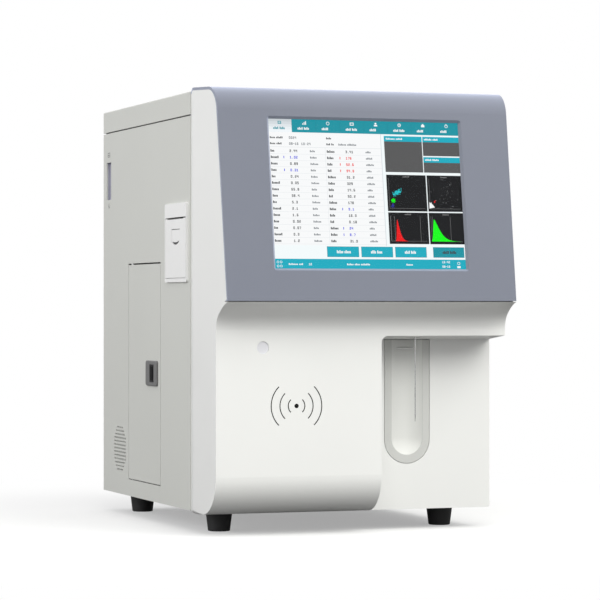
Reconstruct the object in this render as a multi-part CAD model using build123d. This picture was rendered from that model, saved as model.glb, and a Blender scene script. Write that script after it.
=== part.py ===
from build123d import *
import math
import os

# Bench-top blood cell analyser: moulded front cover with a slanted screen, sheet metal case behind it.
# Millimetres, +Z up, origin on the bench under the middle of the machine. The screen faces -Y.

os.makedirs("parts", exist_ok=True)

# Case
CASE_WIDTH = 322.0
CASE_DEPTH = 340.0
CASE_HEIGHT = 438.0
FOOT_HEIGHT = 23.0
SHEET = 1.5
SPIGOT_REACH = 12.0

# Side outline of the front cover, forward of the seam with the case
WALL = 3.0
LIP_REACH = 118.4
LIP_HEIGHT = 218.0
FRONT_REACH = 84.7
CHIN_HEIGHT = 189.0
CHIN_RADIUS = 21.0
CHIN_TURN = 52.0
SCREEN_TILT = 8.6
DRAFT = 3.0
TOP_RADIUS = 27.0
FOOT_RADIUS = 40.0
FLARE_LENGTH = 16.0
FLARE_RISE = 2.5
FLARE_RADIUS = 28.0
RIM_INSET = 1.0
SIDE_ROUND = 6.0

SEAM_Y = (LIP_REACH - CASE_DEPTH - SPIGOT_REACH) / 2
REAR_Y = SEAM_Y + CASE_DEPTH
FRONT_Y = SEAM_Y - FRONT_REACH
CASE_X = CASE_WIDTH / 2
INNER_X = CASE_X - SHEET
BASE_Z = FOOT_HEIGHT
TOP_Z = BASE_Z + CASE_HEIGHT
LIP_Z = BASE_Z + LIP_HEIGHT
COVER_X = CASE_X + FLARE_RISE

# Screen
WINDOW_SIDE = 56.3
WINDOW_ROOM = 65.0
WINDOW_LIFT = 2.1
WINDOW = (CASE_WIDTH - 2 * WINDOW_SIDE, CASE_HEIGHT - LIP_HEIGHT - WINDOW_ROOM)
WINDOW_RISE = (CASE_HEIGHT - LIP_HEIGHT) / 2 + WINDOW_LIFT
WINDOW_BEVEL = 2.4
WINDOW_CORNER = 3.0
GLASS_MARGIN = 4.5
GLASS_THICK = 1.8
LCD_THICK = 8.0
BRACKET_THICK = 1.5
POST_OUT = (10.0, -6.0)
POST_RADIUS = 3.0
BEZEL_GAP = 0.8

# Sample bay, a step back in the lower right of the cover
BAY_LEFT = 20.6
BAY_DEPTH = 46.6
BAY_FRONT_CEILING = 182.6
BAY_BACK_CEILING = 178.4
BAY_CORNER = 7.0
BAY_BACK_Y = FRONT_Y + BAY_DEPTH

# Start key behind the probe
KEY_X = 67.4
KEY_RADIUS = 25.9
KEY_LOW = 46.7
KEY_CHANNEL_RADIUS = 17.75
KEY_BAND = 9.2
KEY_SCOOP = 26.0
KEY_DEPTH = 9.0
KEY_GAP = 0.6
KEY_PIVOT_DROP = 10.0
KEY_PIVOT_BACK = 6.0
KEY_PIN_RADIUS = 1.5
KEY_LUG = (27.5, 31.5)
RUN = 0.05

# Sampling probe and lift
PROBE_REACH = 61.1
PROBE_RADIUS = 0.65
PROBE_SHANK_RADIUS = 1.2
PROBE_TIP_RADIUS = 0.3
PROBE_TIP = 92.2
PROBE_TIP_LENGTH = 6.2
LIFT_TRAVEL = 92.0
ROD_REACH = 33.0
ROD_OUT = 17.0
ROD_RADIUS = 3.0
SCREW_RUN = 0.1
LIFT_HALF = 30.0
SHELF = 3.0
LOW_SHELF = BAY_FRONT_CEILING + 22.0
CARRIER_LOW = LOW_SHELF + SHELF + 6.0
CARRIER_TALL = 18.0
HIGH_SHELF = CARRIER_LOW + CARRIER_TALL + LIFT_TRAVEL + 8.0
MOTOR_HALF = 17.5
MOTOR_TALL = 28.0

# Status lens
LENS_X = -109.4
LENS_HEIGHT = 171.1
LENS_RADIUS = 6.35
LENS_RECESS = 1.0

# Case panels
TOP_SKIRT = 24.0
PANEL_GAP = 1.5
RETURN = 10.0
FRAME_THICK = 2.0
FRAME_FRONT = SHEET
FRAME_BACK = FRAME_FRONT + FRAME_THICK
DECK_HEIGHT = 266.0
DECK_LEFT = -58.0

# Feet
FOOT_TOP_RADIUS = 14.5
FOOT_SOLE_RADIUS = 11.6
FOOT_X = 125.3
FOOT_BACKS = (12.8, 300.9)

# Side door, measured behind the seam and above the case floor
DOOR_BACKS = (109.4, 233.6)
DOOR_HEIGHTS = (19.6, 259.6)
DOOR_GAP = 1.0
DOOR_TOP_GAP = 1.6
DOOR_RETURN = 9.0
HINGE_IN = 3.2
HINGE_AHEAD = 7.0
HINGE_PIN_RADIUS = 1.5
HINGE_PIN_LENGTH = 5.0

# Slide latch on the side door
LATCH_BACKS = (117.6, 159.5)
LATCH_HEIGHTS = (126.4, 153.9)
SLOT_BACKS = (128.0, 144.2)
SLOT_HEIGHTS = (130.3, 149.8)
LATCH_PROUD = 2.2
LATCH_TRAVEL = 5.0
BOLT_TALL = 10.0
BOLT_THICK = 2.0

# Reagent tray behind the door
TRAY_MOUTH = 14.0
TRAY_BACK_X = DECK_LEFT - 3.0
TRAY_FLOOR = 18.0
TRAY_WALL = 2.0
BOTTLES = ((-104.0, 144.0, 62.0, 62.0, 138.0), (-104.0, 205.0, 62.0, 44.0, 96.0))
CAP_RADIUS = 15.0

# Printer on the left panel
PRINTER_BACKS = (6.7, 85.1)
PRINTER_HEIGHTS = (238.9, 322.5)
PRINTER_PROUD = 2.3
PRINTER_BODY_INSET = 2.2
PRINTER_DEPTH = 48.0
LID_BACKS = (9.5, 82.4)
LID_HEIGHTS = (243.5, 306.4)
LID_THICK = 2.5
LID_GAP = 0.6
LID_SWEEP_GAP = 0.25
ROLL_RADIUS = 19.0
ROLL_WIDTH = 57.0
PLATEN_RADIUS = 4.5
PLATEN_SHAFT = 1.5
LID_PIN_RADIUS = 0.75
TAB_BACKS = (30.3, 60.6)
TAB_HEIGHTS = (278.8, 295.0)
TAB_SIDE = 283.4
TAB_THICK = 1.3
TAB_SCOOP = 2.4
FEED_KEY = (11.3, 313.4, 1.6)
LED_DOT = (12.0, 319.0, 0.8)

# Vent and socket recess on the left panel
VENT = (DOOR_BACKS[1] + 36.7, 51.6, 26.5, 4.0)
VENT_SLOT = (6.0, 1.7, 8.2)
PORT_BACKS = (CASE_DEPTH - 32.6, CASE_DEPTH - 14.0)
PORT_HEIGHTS = (CASE_HEIGHT - 102.0, CASE_HEIGHT - 59.0)
PORT_RECESS = 2.4

# Rear panel fittings
FAN_X = INNER_X - 64.5
FAN_UP = CASE_HEIGHT - 93.0
FAN_SIZE = 80.0
FAN_BORE = 37.5
FAN_DEPTH = 25.0
INLET_X = INNER_X - 54.5
INLET_UP = 78.0
SWITCH_X = INLET_X - 43.0
SPIGOT_X = -20.0
SPIGOT_UP = 110.0
SPIGOT_PITCH = 26.0
SPIGOT_RADIUS = 3.0


def behind(distance):
    """Y of a plane this far behind the seam between cover and case."""
    return SEAM_Y + distance


def up(height):
    """Z of a plane this far above the underside of the case."""
    return BASE_Z + height


def block(x0, x1, y0, y1, z0, z1):
    """A box between two limits on each axis."""
    return Pos((x0 + x1) / 2, (y0 + y1) / 2, (z0 + z1) / 2) * Box(abs(x1 - x0), abs(y1 - y0), abs(z1 - z0))


def rod_x(radius, x0, x1, y, z):
    """A round bar along X."""
    return Pos((x0 + x1) / 2, y, z) * Rot(0, 90, 0) * Cylinder(radius, x1 - x0)


def rod_y(radius, y0, y1, x, z):
    """A round bar along Y."""
    return Pos(x, (y0 + y1) / 2, z) * Rot(90, 0, 0) * Cylinder(radius, y1 - y0)


def rod_z(radius, z0, z1, x, y):
    """A round bar along Z."""
    return Pos(x, y, (z0 + z1) / 2) * Cylinder(radius, z1 - z0)


def rounded_x(x0, x1, y0, y1, z0, z1, radius):
    """A plate across X whose Y and Z outline has rounded corners."""
    outline = Plane.YZ * Pos((y0 + y1) / 2, (z0 + z1) / 2) * RectangleRounded(y1 - y0, z1 - z0, radius)
    return Pos(x0, 0, 0) * extrude(outline, x1 - x0, dir=(1, 0, 0))


def save(name, shape):
    """Write one node."""
    if isinstance(shape, ShapeList):
        shape = Compound(children=list(shape))
    shape.label = name
    export_step(shape, f"parts/{name}.step")


# Front cover


def cover_outline():
    """Side view of the cover: flare, sloping top, slanted screen, two-arc chin, front and rounded foot."""
    draft = math.tan(math.radians(DRAFT))
    tilt = math.tan(math.radians(SCREEN_TILT))
    shoulder_y = behind(-FLARE_LENGTH)
    lip = (behind(-LIP_REACH), LIP_Z)
    high = TOP_Z + FLARE_RISE
    low = BASE_Z - FLARE_RISE
    rise = (high - LIP_Z - draft * (shoulder_y - lip[0])) / (1 - draft * tilt)
    corner = (lip[0] + rise * tilt, LIP_Z + rise)
    foot = (FRONT_Y, low + draft * (shoulder_y - FRONT_Y))
    turn = math.radians(CHIN_TURN)
    chin = (FRONT_Y, up(CHIN_HEIGHT))
    knee = (FRONT_Y - CHIN_RADIUS * (1 - math.cos(turn)), chin[1] + CHIN_RADIUS * math.sin(turn))
    upper = FilletPolyline(
        (SEAM_Y, TOP_Z - RIM_INSET), (shoulder_y, high), corner, lip, radius=[FLARE_RADIUS, TOP_RADIUS]
    )
    chin_low = TangentArc(chin, knee, tangent=(0, 1))
    chin_high = TangentArc(knee, lip, tangent=chin_low % 1)
    lower = FilletPolyline(
        chin, foot, (shoulder_y, low), (SEAM_Y, BASE_Z + RIM_INSET), radius=[FOOT_RADIUS, FLARE_RADIUS]
    )
    rim = Line((SEAM_Y, BASE_Z + RIM_INSET), (SEAM_Y, TOP_Z - RIM_INSET))
    return make_face([*upper.edges(), *chin_low.edges(), *chin_high.edges(), *lower.edges(), *rim.edges()])


def cover_plan():
    """Plan view of the cover: drafted sides that flare out from the rim of the case."""
    draft = math.tan(math.radians(DRAFT))
    rim = CASE_X - RIM_INSET
    front = behind(-LIP_REACH - 10)
    shoulder_y = behind(-FLARE_LENGTH)
    narrow = COVER_X - draft * (shoulder_y - front)
    outline = FilletPolyline(
        (-rim, SEAM_Y), (-COVER_X, shoulder_y), (-narrow, front), (narrow, front), (COVER_X, shoulder_y),
        (rim, SEAM_Y), radius=[FLARE_RADIUS, 1.0, 1.0, FLARE_RADIUS],
    )
    return make_face([*outline.edges(), Line((rim, SEAM_Y), (-rim, SEAM_Y))])


def open_rear(form, depth):
    """The same form carried on behind the seam."""
    return form + extrude(form.faces().sort_by(Axis.Y)[-1], depth)


def cover_form(inset):
    """Outer form of the cover, or the form a wall thickness inside it, open at the rear."""
    side = cover_outline()
    plan = cover_plan()
    if inset:
        side = offset(side, -inset, kind=Kind.INTERSECTION)
        plan = offset(plan, -inset, kind=Kind.INTERSECTION)
    form = extrude(Plane.YZ * side, COVER_X + 20, both=True) & extrude(plan, TOP_Z + 50)
    if inset:
        return open_rear(form, inset + 1)
    tall, low = 2 * TOP_Z, BASE_Z - FLARE_RISE
    ends = Plane.XZ * Pos(0, low + tall / 2) * RectangleRounded(2 * COVER_X + 0.01, tall, SIDE_ROUND)
    return form & extrude(ends, 2 * LIP_REACH + CASE_DEPTH, both=True)


def inset_core():
    """The side view of the cover a wall thickness inside it, drawn out past both sides."""
    face = offset(cover_outline(), -WALL, kind=Kind.INTERSECTION)
    return extrude(Plane.YZ * face, COVER_X + 20, both=True)


def bezel_blank():
    """The skin over the top and the slanted face, the full width of the cover."""
    skin = cover_form(0) - open_rear(inset_core(), WALL + 1)
    return skin & block(-200, 200, behind(-200), SEAM_Y, LIP_Z + BEZEL_GAP, TOP_Z + 50)


def screen_plane():
    """Plane of the slanted face, its origin on the lip and its Y up the slant."""
    tilt = math.radians(SCREEN_TILT)
    return Plane(
        origin=(0, behind(-LIP_REACH), LIP_Z), x_dir=(1, 0, 0), z_dir=(0, -math.cos(tilt), math.sin(tilt))
    )


def screen_slab(width, height, front, thick):
    """A rectangular slab behind the slanted face, centred on the window."""
    return screen_plane() * Pos(0, WINDOW_RISE, -front - thick / 2) * Box(width, height, thick)


def display_bezel():
    width, height = WINDOW
    rim = RectangleRounded(width + 2 * WINDOW_BEVEL, height + 2 * WINDOW_BEVEL, WINDOW_CORNER)
    slope = math.degrees(math.atan(WINDOW_BEVEL / WALL))
    bevel = extrude(screen_plane() * Pos(0, WINDOW_RISE) * rim, -WALL, taper=slope)
    return bezel_blank() - screen_slab(width, height, -2, WALL + 6) - bevel


def touch_glass():
    width, height = WINDOW
    return screen_slab(width + 2 * GLASS_MARGIN, height + 2 * GLASS_MARGIN, WALL, GLASS_THICK)


def lcd_panel():
    width, height = WINDOW
    return screen_slab(width + 2 * GLASS_MARGIN, height + 2 * GLASS_MARGIN, WALL + GLASS_THICK, LCD_THICK)


def display_bracket():
    """Back plate of the display, on four posts that reach the bezel beside the glass."""
    width, height = WINDOW
    depth = WALL + GLASS_THICK + LCD_THICK
    out_x, out_y = POST_OUT
    body = screen_slab(width + 2 * out_x + 8, height + 2 * out_y + 8, depth, BRACKET_THICK)
    body -= screen_slab(90, 60, depth - 1, BRACKET_THICK + 2)
    for sx in (-1, 1):
        for sy in (-1, 1):
            rise = WINDOW_RISE + sy * (height / 2 + out_y)
            place = Pos(sx * (width / 2 + out_x), rise, -(WALL + depth) / 2)
            body += screen_plane() * place * Cylinder(POST_RADIUS, depth - WALL)
    return body


def bay_form(grow):
    """The space of the sample bay, or the same space with a wall round it."""
    fall = (BAY_FRONT_CEILING - BAY_BACK_CEILING) / BAY_DEPTH
    front, back = FRONT_Y - 60, BAY_BACK_Y + grow
    outline = Polyline(
        (front, -50), (back, -50), (back, up(BAY_BACK_CEILING) + grow - fall * grow),
        (front, up(BAY_FRONT_CEILING) + grow + fall * 60), close=True,
    )
    form = Pos(BAY_LEFT - grow, 0, 0) * extrude(Plane.YZ * make_face(outline), 260, dir=(1, 0, 0))
    along = form.edges().filter_by(lambda e: abs(e.tangent_at(0.5).Y) > 0.9)
    return fillet(along.group_by(Axis.Z)[-1].sort_by(Axis.X)[0], BAY_CORNER + grow)


def key_outline(shrink):
    """U outline of the start key, or of the opening it sits in."""
    radius = KEY_RADIUS - shrink
    centre_z = up(KEY_LOW) + KEY_RADIUS
    top = up(BAY_BACK_CEILING) - shrink
    face = Pos(KEY_X, (centre_z + top) / 2) * Rectangle(2 * radius, top - centre_z)
    return face + Pos(KEY_X, centre_z) * Circle(radius)


def key_prism(shrink, y0, y1):
    """The U outline as a solid between two depths."""
    return Pos(0, y1, 0) * extrude(Plane.XZ * key_outline(shrink), y1 - y0)


def key_pivot():
    """Y and Z of the hinge line of the start key."""
    return BAY_BACK_Y + KEY_PIVOT_BACK, up(BAY_BACK_CEILING) - KEY_PIVOT_DROP


def front_cover():
    outer = cover_form(0)
    body = outer - cover_form(WALL) - bezel_blank()
    body -= block(-200, 200, behind(-200), behind(-1), LIP_Z, LIP_Z + BEZEL_GAP) & (outer - inset_core())
    body += bay_form(WALL) & outer
    body -= bay_form(0)
    body -= key_prism(0, BAY_BACK_Y - 1, BAY_BACK_Y + WALL + 1)
    body -= rod_z(6.0, up(170), up(200), KEY_X, behind(-PROBE_REACH))
    body -= rod_y(LENS_RADIUS + RUN, FRONT_Y - 1, FRONT_Y + WALL + 1, LENS_X, up(LENS_HEIGHT))
    pivot_y, pivot_z = key_pivot()
    for side in (-1, 1):
        near, far = (KEY_X + side * reach for reach in KEY_LUG)
        lug = block(near, far, BAY_BACK_Y + WALL - 0.5, pivot_y + 4, pivot_z - 4.5, pivot_z + 4.5)
        body += lug - rod_x(KEY_PIN_RADIUS, KEY_X - 40, KEY_X + 40, pivot_y, pivot_z)
    return body


def status_lens():
    y0 = FRONT_Y + LENS_RECESS
    lens = rod_y(LENS_RADIUS, y0, FRONT_Y + WALL, LENS_X, up(LENS_HEIGHT))
    return lens + rod_y(LENS_RADIUS + 2.2, FRONT_Y + WALL, FRONT_Y + WALL + 1.5, LENS_X, up(LENS_HEIGHT))


def start_key():
    """U-shaped key with a round-bottomed channel that the tube stands in."""
    body = key_prism(KEY_GAP, BAY_BACK_Y, BAY_BACK_Y + KEY_DEPTH)
    low = up(KEY_LOW) + KEY_BAND + KEY_CHANNEL_RADIUS
    depth = math.sqrt(KEY_SCOOP**2 - KEY_CHANNEL_RADIUS**2)
    y = BAY_BACK_Y - depth
    body -= rod_z(KEY_SCOOP, low, TOP_Z, KEY_X, y)
    body -= Pos(KEY_X, y, low) * Sphere(KEY_SCOOP)
    pivot_y, pivot_z = key_pivot()
    hub = rod_x(4.0, KEY_X - KEY_RADIUS + KEY_GAP, KEY_X + KEY_RADIUS - KEY_GAP, pivot_y, pivot_z)
    body += hub - rod_z(KEY_SCOOP, low, TOP_Z, KEY_X, y)
    return body - rod_x(KEY_PIN_RADIUS + RUN, KEY_X - 40, KEY_X + 40, pivot_y, pivot_z)


def key_pin():
    pivot_y, pivot_z = key_pivot()
    return rod_x(KEY_PIN_RADIUS, KEY_X - KEY_LUG[1], KEY_X + KEY_LUG[1], pivot_y, pivot_z)


def start_switch():
    """Small snap switch on a stand-off, its button just behind the key."""
    face = BAY_BACK_Y + KEY_DEPTH + 5.0
    z = up(95)
    body = block(KEY_X - 10, KEY_X + 10, face, face + 10, z - 3.2, z + 3.2)
    body += block(KEY_X - 8, KEY_X + 8, face + 10, behind(FRAME_FRONT), z - 6, z + 6)
    return body + rod_y(1.5, face - 2.0, face, KEY_X, z)


# Probe lift


def lift_frame():
    """Two shelves on a back plate; the probe drops through the lower one."""
    back = behind(FRAME_FRONT)
    x0, x1 = KEY_X - LIFT_HALF, KEY_X + LIFT_HALF
    y, probe_y = behind(-ROD_REACH), behind(-PROBE_REACH)
    body = block(x0, x1, back - SHELF, back, up(LOW_SHELF), up(HIGH_SHELF) + SHELF)
    body += block(x0, x1, probe_y - 11, back, up(LOW_SHELF), up(LOW_SHELF) + SHELF)
    body += block(x0, x1, y - MOTOR_HALF, back, up(HIGH_SHELF), up(HIGH_SHELF) + SHELF)
    for z in (LOW_SHELF, HIGH_SHELF):
        body -= rod_z(ROD_RADIUS + SCREW_RUN, up(z) - 1, up(z) + SHELF + 1, KEY_X, y)
    return body - rod_z(2.5, up(LOW_SHELF) - 1, up(LOW_SHELF) + SHELF + 1, KEY_X, probe_y)


def guide_rods():
    low, high = up(LOW_SHELF) + SHELF, up(HIGH_SHELF)
    return Compound(children=[
        rod_z(ROD_RADIUS, low, high, KEY_X + side * ROD_OUT, behind(-ROD_REACH)) for side in (-1, 1)
    ])


def lift_screw():
    return rod_z(ROD_RADIUS, up(LOW_SHELF) + 0.5, up(HIGH_SHELF) + SHELF + 10, KEY_X, behind(-ROD_REACH))


def lift_motor():
    z, y = up(HIGH_SHELF) + SHELF, behind(-ROD_REACH)
    body = block(KEY_X - MOTOR_HALF, KEY_X + MOTOR_HALF, y - MOTOR_HALF, y + MOTOR_HALF, z, z + MOTOR_TALL)
    body = chamfer(body.edges().filter_by(Axis.Z), 3)
    return body - rod_z(ROD_RADIUS + SCREW_RUN, z - 1, z + 12, KEY_X, y)


def probe_carrier():
    """Nut block on the two rods, with an arm out to the probe."""
    z0 = up(CARRIER_LOW)
    z1 = z0 + CARRIER_TALL
    y, probe_y = behind(-ROD_REACH), behind(-PROBE_REACH)
    body = block(KEY_X - 25, KEY_X + 25, y - 8, y + 8, z0, z1)
    body += block(KEY_X - 6, KEY_X + 6, probe_y - 7, y, z0 + 4, z1 - 4)
    for offset_x in (-ROD_OUT, 0, ROD_OUT):
        body -= rod_z(ROD_RADIUS + SCREW_RUN, z0 - 1, z1 + 1, KEY_X + offset_x, y)
    return body - rod_z(PROBE_SHANK_RADIUS, z0 - 1, z1 + 1, KEY_X, probe_y)


def sampling_probe():
    """Thin tube with a ground tip and a thicker shank in the carrier."""
    y = behind(-PROBE_REACH)
    tip, neck, shank = up(PROBE_TIP), up(PROBE_TIP) + PROBE_TIP_LENGTH, up(CARRIER_LOW)
    body = rod_z(PROBE_RADIUS, neck, shank, KEY_X, y)
    body += rod_z(PROBE_SHANK_RADIUS, shank, shank + CARRIER_TALL + 10, KEY_X, y)
    return body + Pos(KEY_X, y, (tip + neck) / 2) * Cone(PROBE_TIP_RADIUS, PROBE_RADIUS, neck - tip)


def wash_block():
    """Rinse collar that wipes the outside of the probe, with two hose stubs."""
    y, top = behind(-PROBE_REACH), up(LOW_SHELF)
    low = up(BAY_FRONT_CEILING) + WALL + 1.5
    body = block(KEY_X - 9, KEY_X + 9, y - 9, y + 9, low, top)
    for z in (low + 5, top - 5):
        body += rod_x(1.6, KEY_X - 17, KEY_X - 8, y, z)
    return body - rod_z(PROBE_RADIUS + 0.5, low - 1, top + 1, KEY_X, y)


# Sample valve, baths


VALVE = (-30.0, 262.0)


def valve_base():
    """Rear disc of the sample valve, its mount and the pin that the rotor turns on."""
    x, z = VALVE[0], up(VALVE[1])
    y = behind(FRAME_FRONT)
    body = block(x - 22, x + 22, y - 6, y, z - 26, z + 26)
    body += rod_y(18, y - 16, y - 6, x, z)
    return body + rod_y(4, y - 34, y - 16, x, z)


def valve_rotor():
    """Middle disc of the sample valve with its drive arm."""
    x, z = VALVE[0], up(VALVE[1])
    y = behind(FRAME_FRONT) - 16
    body = rod_y(18, y - 8, y, x, z) + block(x - 4, x + 4, y - 6.5, y - 1.5, z + 10, z + 34)
    return body - rod_y(4 + RUN, y - 10, y + 2, x, z)


def valve_face():
    """Front disc of the sample valve with its hose stubs, clamped on the pin."""
    x, z = VALVE[0], up(VALVE[1])
    y = behind(FRAME_FRONT) - 24
    body = rod_y(18, y - 8, y, x, z) - rod_y(4, y - 9, y + 1, x, z)
    for turn in range(4):
        angle = math.radians(45 + 90 * turn)
        body += rod_y(1.5, y - 15, y - 7, x + 12 * math.cos(angle), z + 12 * math.sin(angle))
    return body


def count_bath(x):
    """Open cup with a drain stub, on a block against the frame."""
    y, z = behind(-24), up(96)
    body = rod_z(15, z, z + 46, x, y) + block(x - 9, x + 9, y, behind(FRAME_FRONT), z + 4, z + 34)
    body += rod_z(3, z - 9, z + 1, x, y)
    return body - rod_z(12, z + 4, z + 50, x, y)


# Case panels


def front_frame():
    """Upright plate across the front of the case that the fluidics hang on."""
    body = block(-INNER_X, INNER_X, behind(FRAME_FRONT), behind(FRAME_BACK), up(SHEET), TOP_Z - SHEET)
    high = CASE_HEIGHT - 43
    for x0, x1, z0, z1 in ((-100, -62, 250, high - 15), (5, 30, 200, 245), (-40, 40, high - 50, high),
                           (-100, 0, 30, 80)):
        body -= block(x0, x1, behind(0), behind(6), up(z0), up(z1))
    return body


def base_tray():
    body = block(-INNER_X, INNER_X, SEAM_Y, REAR_Y - SHEET, BASE_Z, up(SHEET))
    for side in (-1, 1):
        body += block(side * INNER_X, side * (INNER_X - SHEET), behind(12), REAR_Y - 12, BASE_Z, up(14))
    return body


def top_cover():
    body = block(-CASE_X, CASE_X, SEAM_Y, REAR_Y, TOP_Z - TOP_SKIRT, TOP_Z)
    body = fillet(body.edges().filter_by(Axis.Y).group_by(Axis.Z)[-1], 1.4)
    return body - block(-INNER_X, INNER_X, SEAM_Y - 1, REAR_Y - SHEET, 0, TOP_Z - SHEET)


def side_panel(side):
    """Bent side panel with front and rear returns and a strip that backs the top cover's skirt."""
    top = TOP_Z - TOP_SKIRT - PANEL_GAP
    outer, inner = side * CASE_X, side * INNER_X
    body = block(outer, inner, SEAM_Y, REAR_Y - SHEET, BASE_Z, top)
    body += block(outer, outer - side * RETURN, SEAM_Y, behind(SHEET), up(2), top)
    body += block(inner, inner - side * RETURN, REAR_Y - 2 * SHEET, REAR_Y - SHEET, up(2), top)
    return body + block(inner, inner - side * SHEET, behind(6), REAR_Y - 6, top - 12, top + 10)


def vent_slots():
    """Rows of short slots inside a circle."""
    back, height, radius, pitch = VENT
    long, tall, step = VENT_SLOT
    cuts = []
    for row in range(-6, 7):
        half = math.sqrt(max(radius**2 - (row * pitch) ** 2, 0))
        count = max(int((2 * half + step - long) / step), 1)
        for i in range(count):
            y = behind(back) + (i - count / 2 + 0.5) * step - long / 2
            z = up(height) + row * pitch - tall / 2
            cuts.append(block(-CASE_X - 1, -INNER_X + 1, y, y + long, z, z + tall))
    return cuts


def left_panel():
    (y0, y1), (z0, z1) = DOOR_BACKS, DOOR_HEIGHTS
    g = DOOR_GAP
    body = side_panel(-1)
    high = up(z1 + DOOR_TOP_GAP)
    body -= block(-CASE_X - 1, -INNER_X + 1, behind(y0 - g), behind(y1 + g), up(z0 - g), high)
    (y0, y1), (z0, z1) = PRINTER_BACKS, PRINTER_HEIGHTS
    i = PRINTER_BODY_INSET
    body -= block(-CASE_X - 1, -INNER_X + 1, behind(y0 + i), behind(y1 - i), up(z0 + i), up(z1 - i))
    (y0, y1), (z0, z1) = PORT_BACKS, PORT_HEIGHTS
    body -= rounded_x(-CASE_X - 1, -INNER_X + 1, behind(y0), behind(y1), up(z0), up(z1), 1.5)
    return body - vent_slots()


def right_panel():
    body = side_panel(1)
    for row in range(8):
        z = TOP_Z - 138 + row * 8
        for y in (REAR_Y - 140, REAR_Y - 82):
            body -= block(INNER_X - 1, CASE_X + 1, y, y + 50, z, z + 3)
    return body


def rear_panel():
    body = block(-CASE_X, CASE_X, REAR_Y - SHEET, REAR_Y, BASE_Z, TOP_Z - TOP_SKIRT - PANEL_GAP)
    ring = rod_y(FAN_BORE, REAR_Y - 5, REAR_Y + 5, FAN_X, up(FAN_UP))
    for radius in (8, 17, 27):
        ring -= rod_y(radius + 1.2, REAR_Y - 6, REAR_Y + 6, FAN_X, up(FAN_UP)) - rod_y(
            radius - 1.2, REAR_Y - 7, REAR_Y + 7, FAN_X, up(FAN_UP)
        )
    for turn in (45, 135):
        bar = Pos(FAN_X, REAR_Y, up(FAN_UP)) * Rot(0, turn, 0) * Box(2 * FAN_SIZE, 20, 3)
        ring -= bar
    body -= ring
    for x, half_x, half_z in ((INLET_X, 13.5, 10), (SWITCH_X, 6.5, 9.5)):
        z = up(INLET_UP)
        body -= block(x - half_x, x + half_x, REAR_Y - 5, REAR_Y + 5, z - half_z, z + half_z)
    for x in spigot_places():
        body -= rod_y(SPIGOT_RADIUS + 1.0, REAR_Y - 5, REAR_Y + 5, x, up(SPIGOT_UP))
    return body


def upper_deck():
    """Shelf for the electronics and the optics, bent down at the front and the right."""
    y0, y1 = behind(FRAME_BACK), REAR_Y - 35
    body = block(DECK_LEFT, INNER_X, y0, y1, up(DECK_HEIGHT), up(DECK_HEIGHT) + SHEET)
    body += block(DECK_LEFT, INNER_X, y0, y0 + SHEET, up(DECK_HEIGHT) - 12, up(DECK_HEIGHT))
    return body + block(INNER_X - SHEET, INNER_X, y0, y1, up(DECK_HEIGHT) - 12, up(DECK_HEIGHT))


def foot(x, back):
    cone = Pos(x, behind(back), FOOT_HEIGHT / 2) * Cone(FOOT_SOLE_RADIUS, FOOT_TOP_RADIUS, FOOT_HEIGHT)
    return fillet(cone.edges().sort_by(Axis.Z)[0], 1.2)


# Side door and reagent tray


def hinge_line():
    """X and Y of the door's hinge line."""
    return -CASE_X + HINGE_IN, behind(DOOR_BACKS[1] - HINGE_AHEAD)


def side_door():
    """Flush door with inward returns on three edges and a slot for the latch."""
    (y0, y1), (z0, z1) = DOOR_BACKS, DOOR_HEIGHTS
    outer, inner = -CASE_X, -CASE_X + DOOR_RETURN
    body = block(outer, -INNER_X, behind(y0), behind(y1), up(z0), up(z1))
    body += block(outer, inner, behind(y0), behind(y0) + SHEET, up(z0), up(z1))
    for z in (up(z0), up(z1) - SHEET):
        body += block(outer, inner, behind(y0), behind(y1), z, z + SHEET)
    (s0, s1), (t0, t1) = SLOT_BACKS, SLOT_HEIGHTS
    body -= block(outer - 1, -INNER_X + 1, behind(s0), behind(s1), up(t0), up(t1))
    middle = up(sum(SLOT_HEIGHTS) / 2)
    bolt = BOLT_TALL / 2 + 0.5
    front = behind(y0)
    body -= block(-INNER_X, -INNER_X + BOLT_THICK + 0.7, front - 1, front + 3, middle - bolt, middle + bolt)
    x, y = hinge_line()
    return body - rod_z(HINGE_PIN_RADIUS + RUN, up(z0) - 1, up(z1) + 1, x, y)


def door_pivots():
    """Brackets inside the panel above and below the door, each with its pin."""
    x, y = hinge_line()
    z0, z1 = (up(z) for z in DOOR_HEIGHTS)
    g = DOOR_GAP
    body = [
        block(-INNER_X, -CASE_X + 9, y - 6, y + 6, z1 + g, z1 + g + 6)
        + rod_z(HINGE_PIN_RADIUS, z1 - HINGE_PIN_LENGTH, z1 + g, x, y),
        block(-INNER_X, -CASE_X + 9, y - 6, y + 6, z0 - g - 4, z0 - g)
        + rod_z(HINGE_PIN_RADIUS, z0 - g, z0 + HINGE_PIN_LENGTH, x, y),
    ]
    return Compound(children=body)


def latch_frame():
    """Raised frame round the latch slot, its rear end bulged for the thumb."""
    (y0, y1), (z0, z1) = LATCH_BACKS, LATCH_HEIGHTS
    (s0, s1), (t0, t1) = SLOT_BACKS, SLOT_HEIGHTS
    x0, x1 = -CASE_X - LATCH_PROUD, -CASE_X
    body = rounded_x(x0, x1, behind(y0), behind(y1), up(z0), up(z1), 3.0)
    body = chamfer(body.faces().sort_by(Axis.X)[0].edges(), 0.7)
    return body - block(x0 - 1, x1 + 1, behind(s0), behind(s1), up(t0), up(t1))


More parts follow.
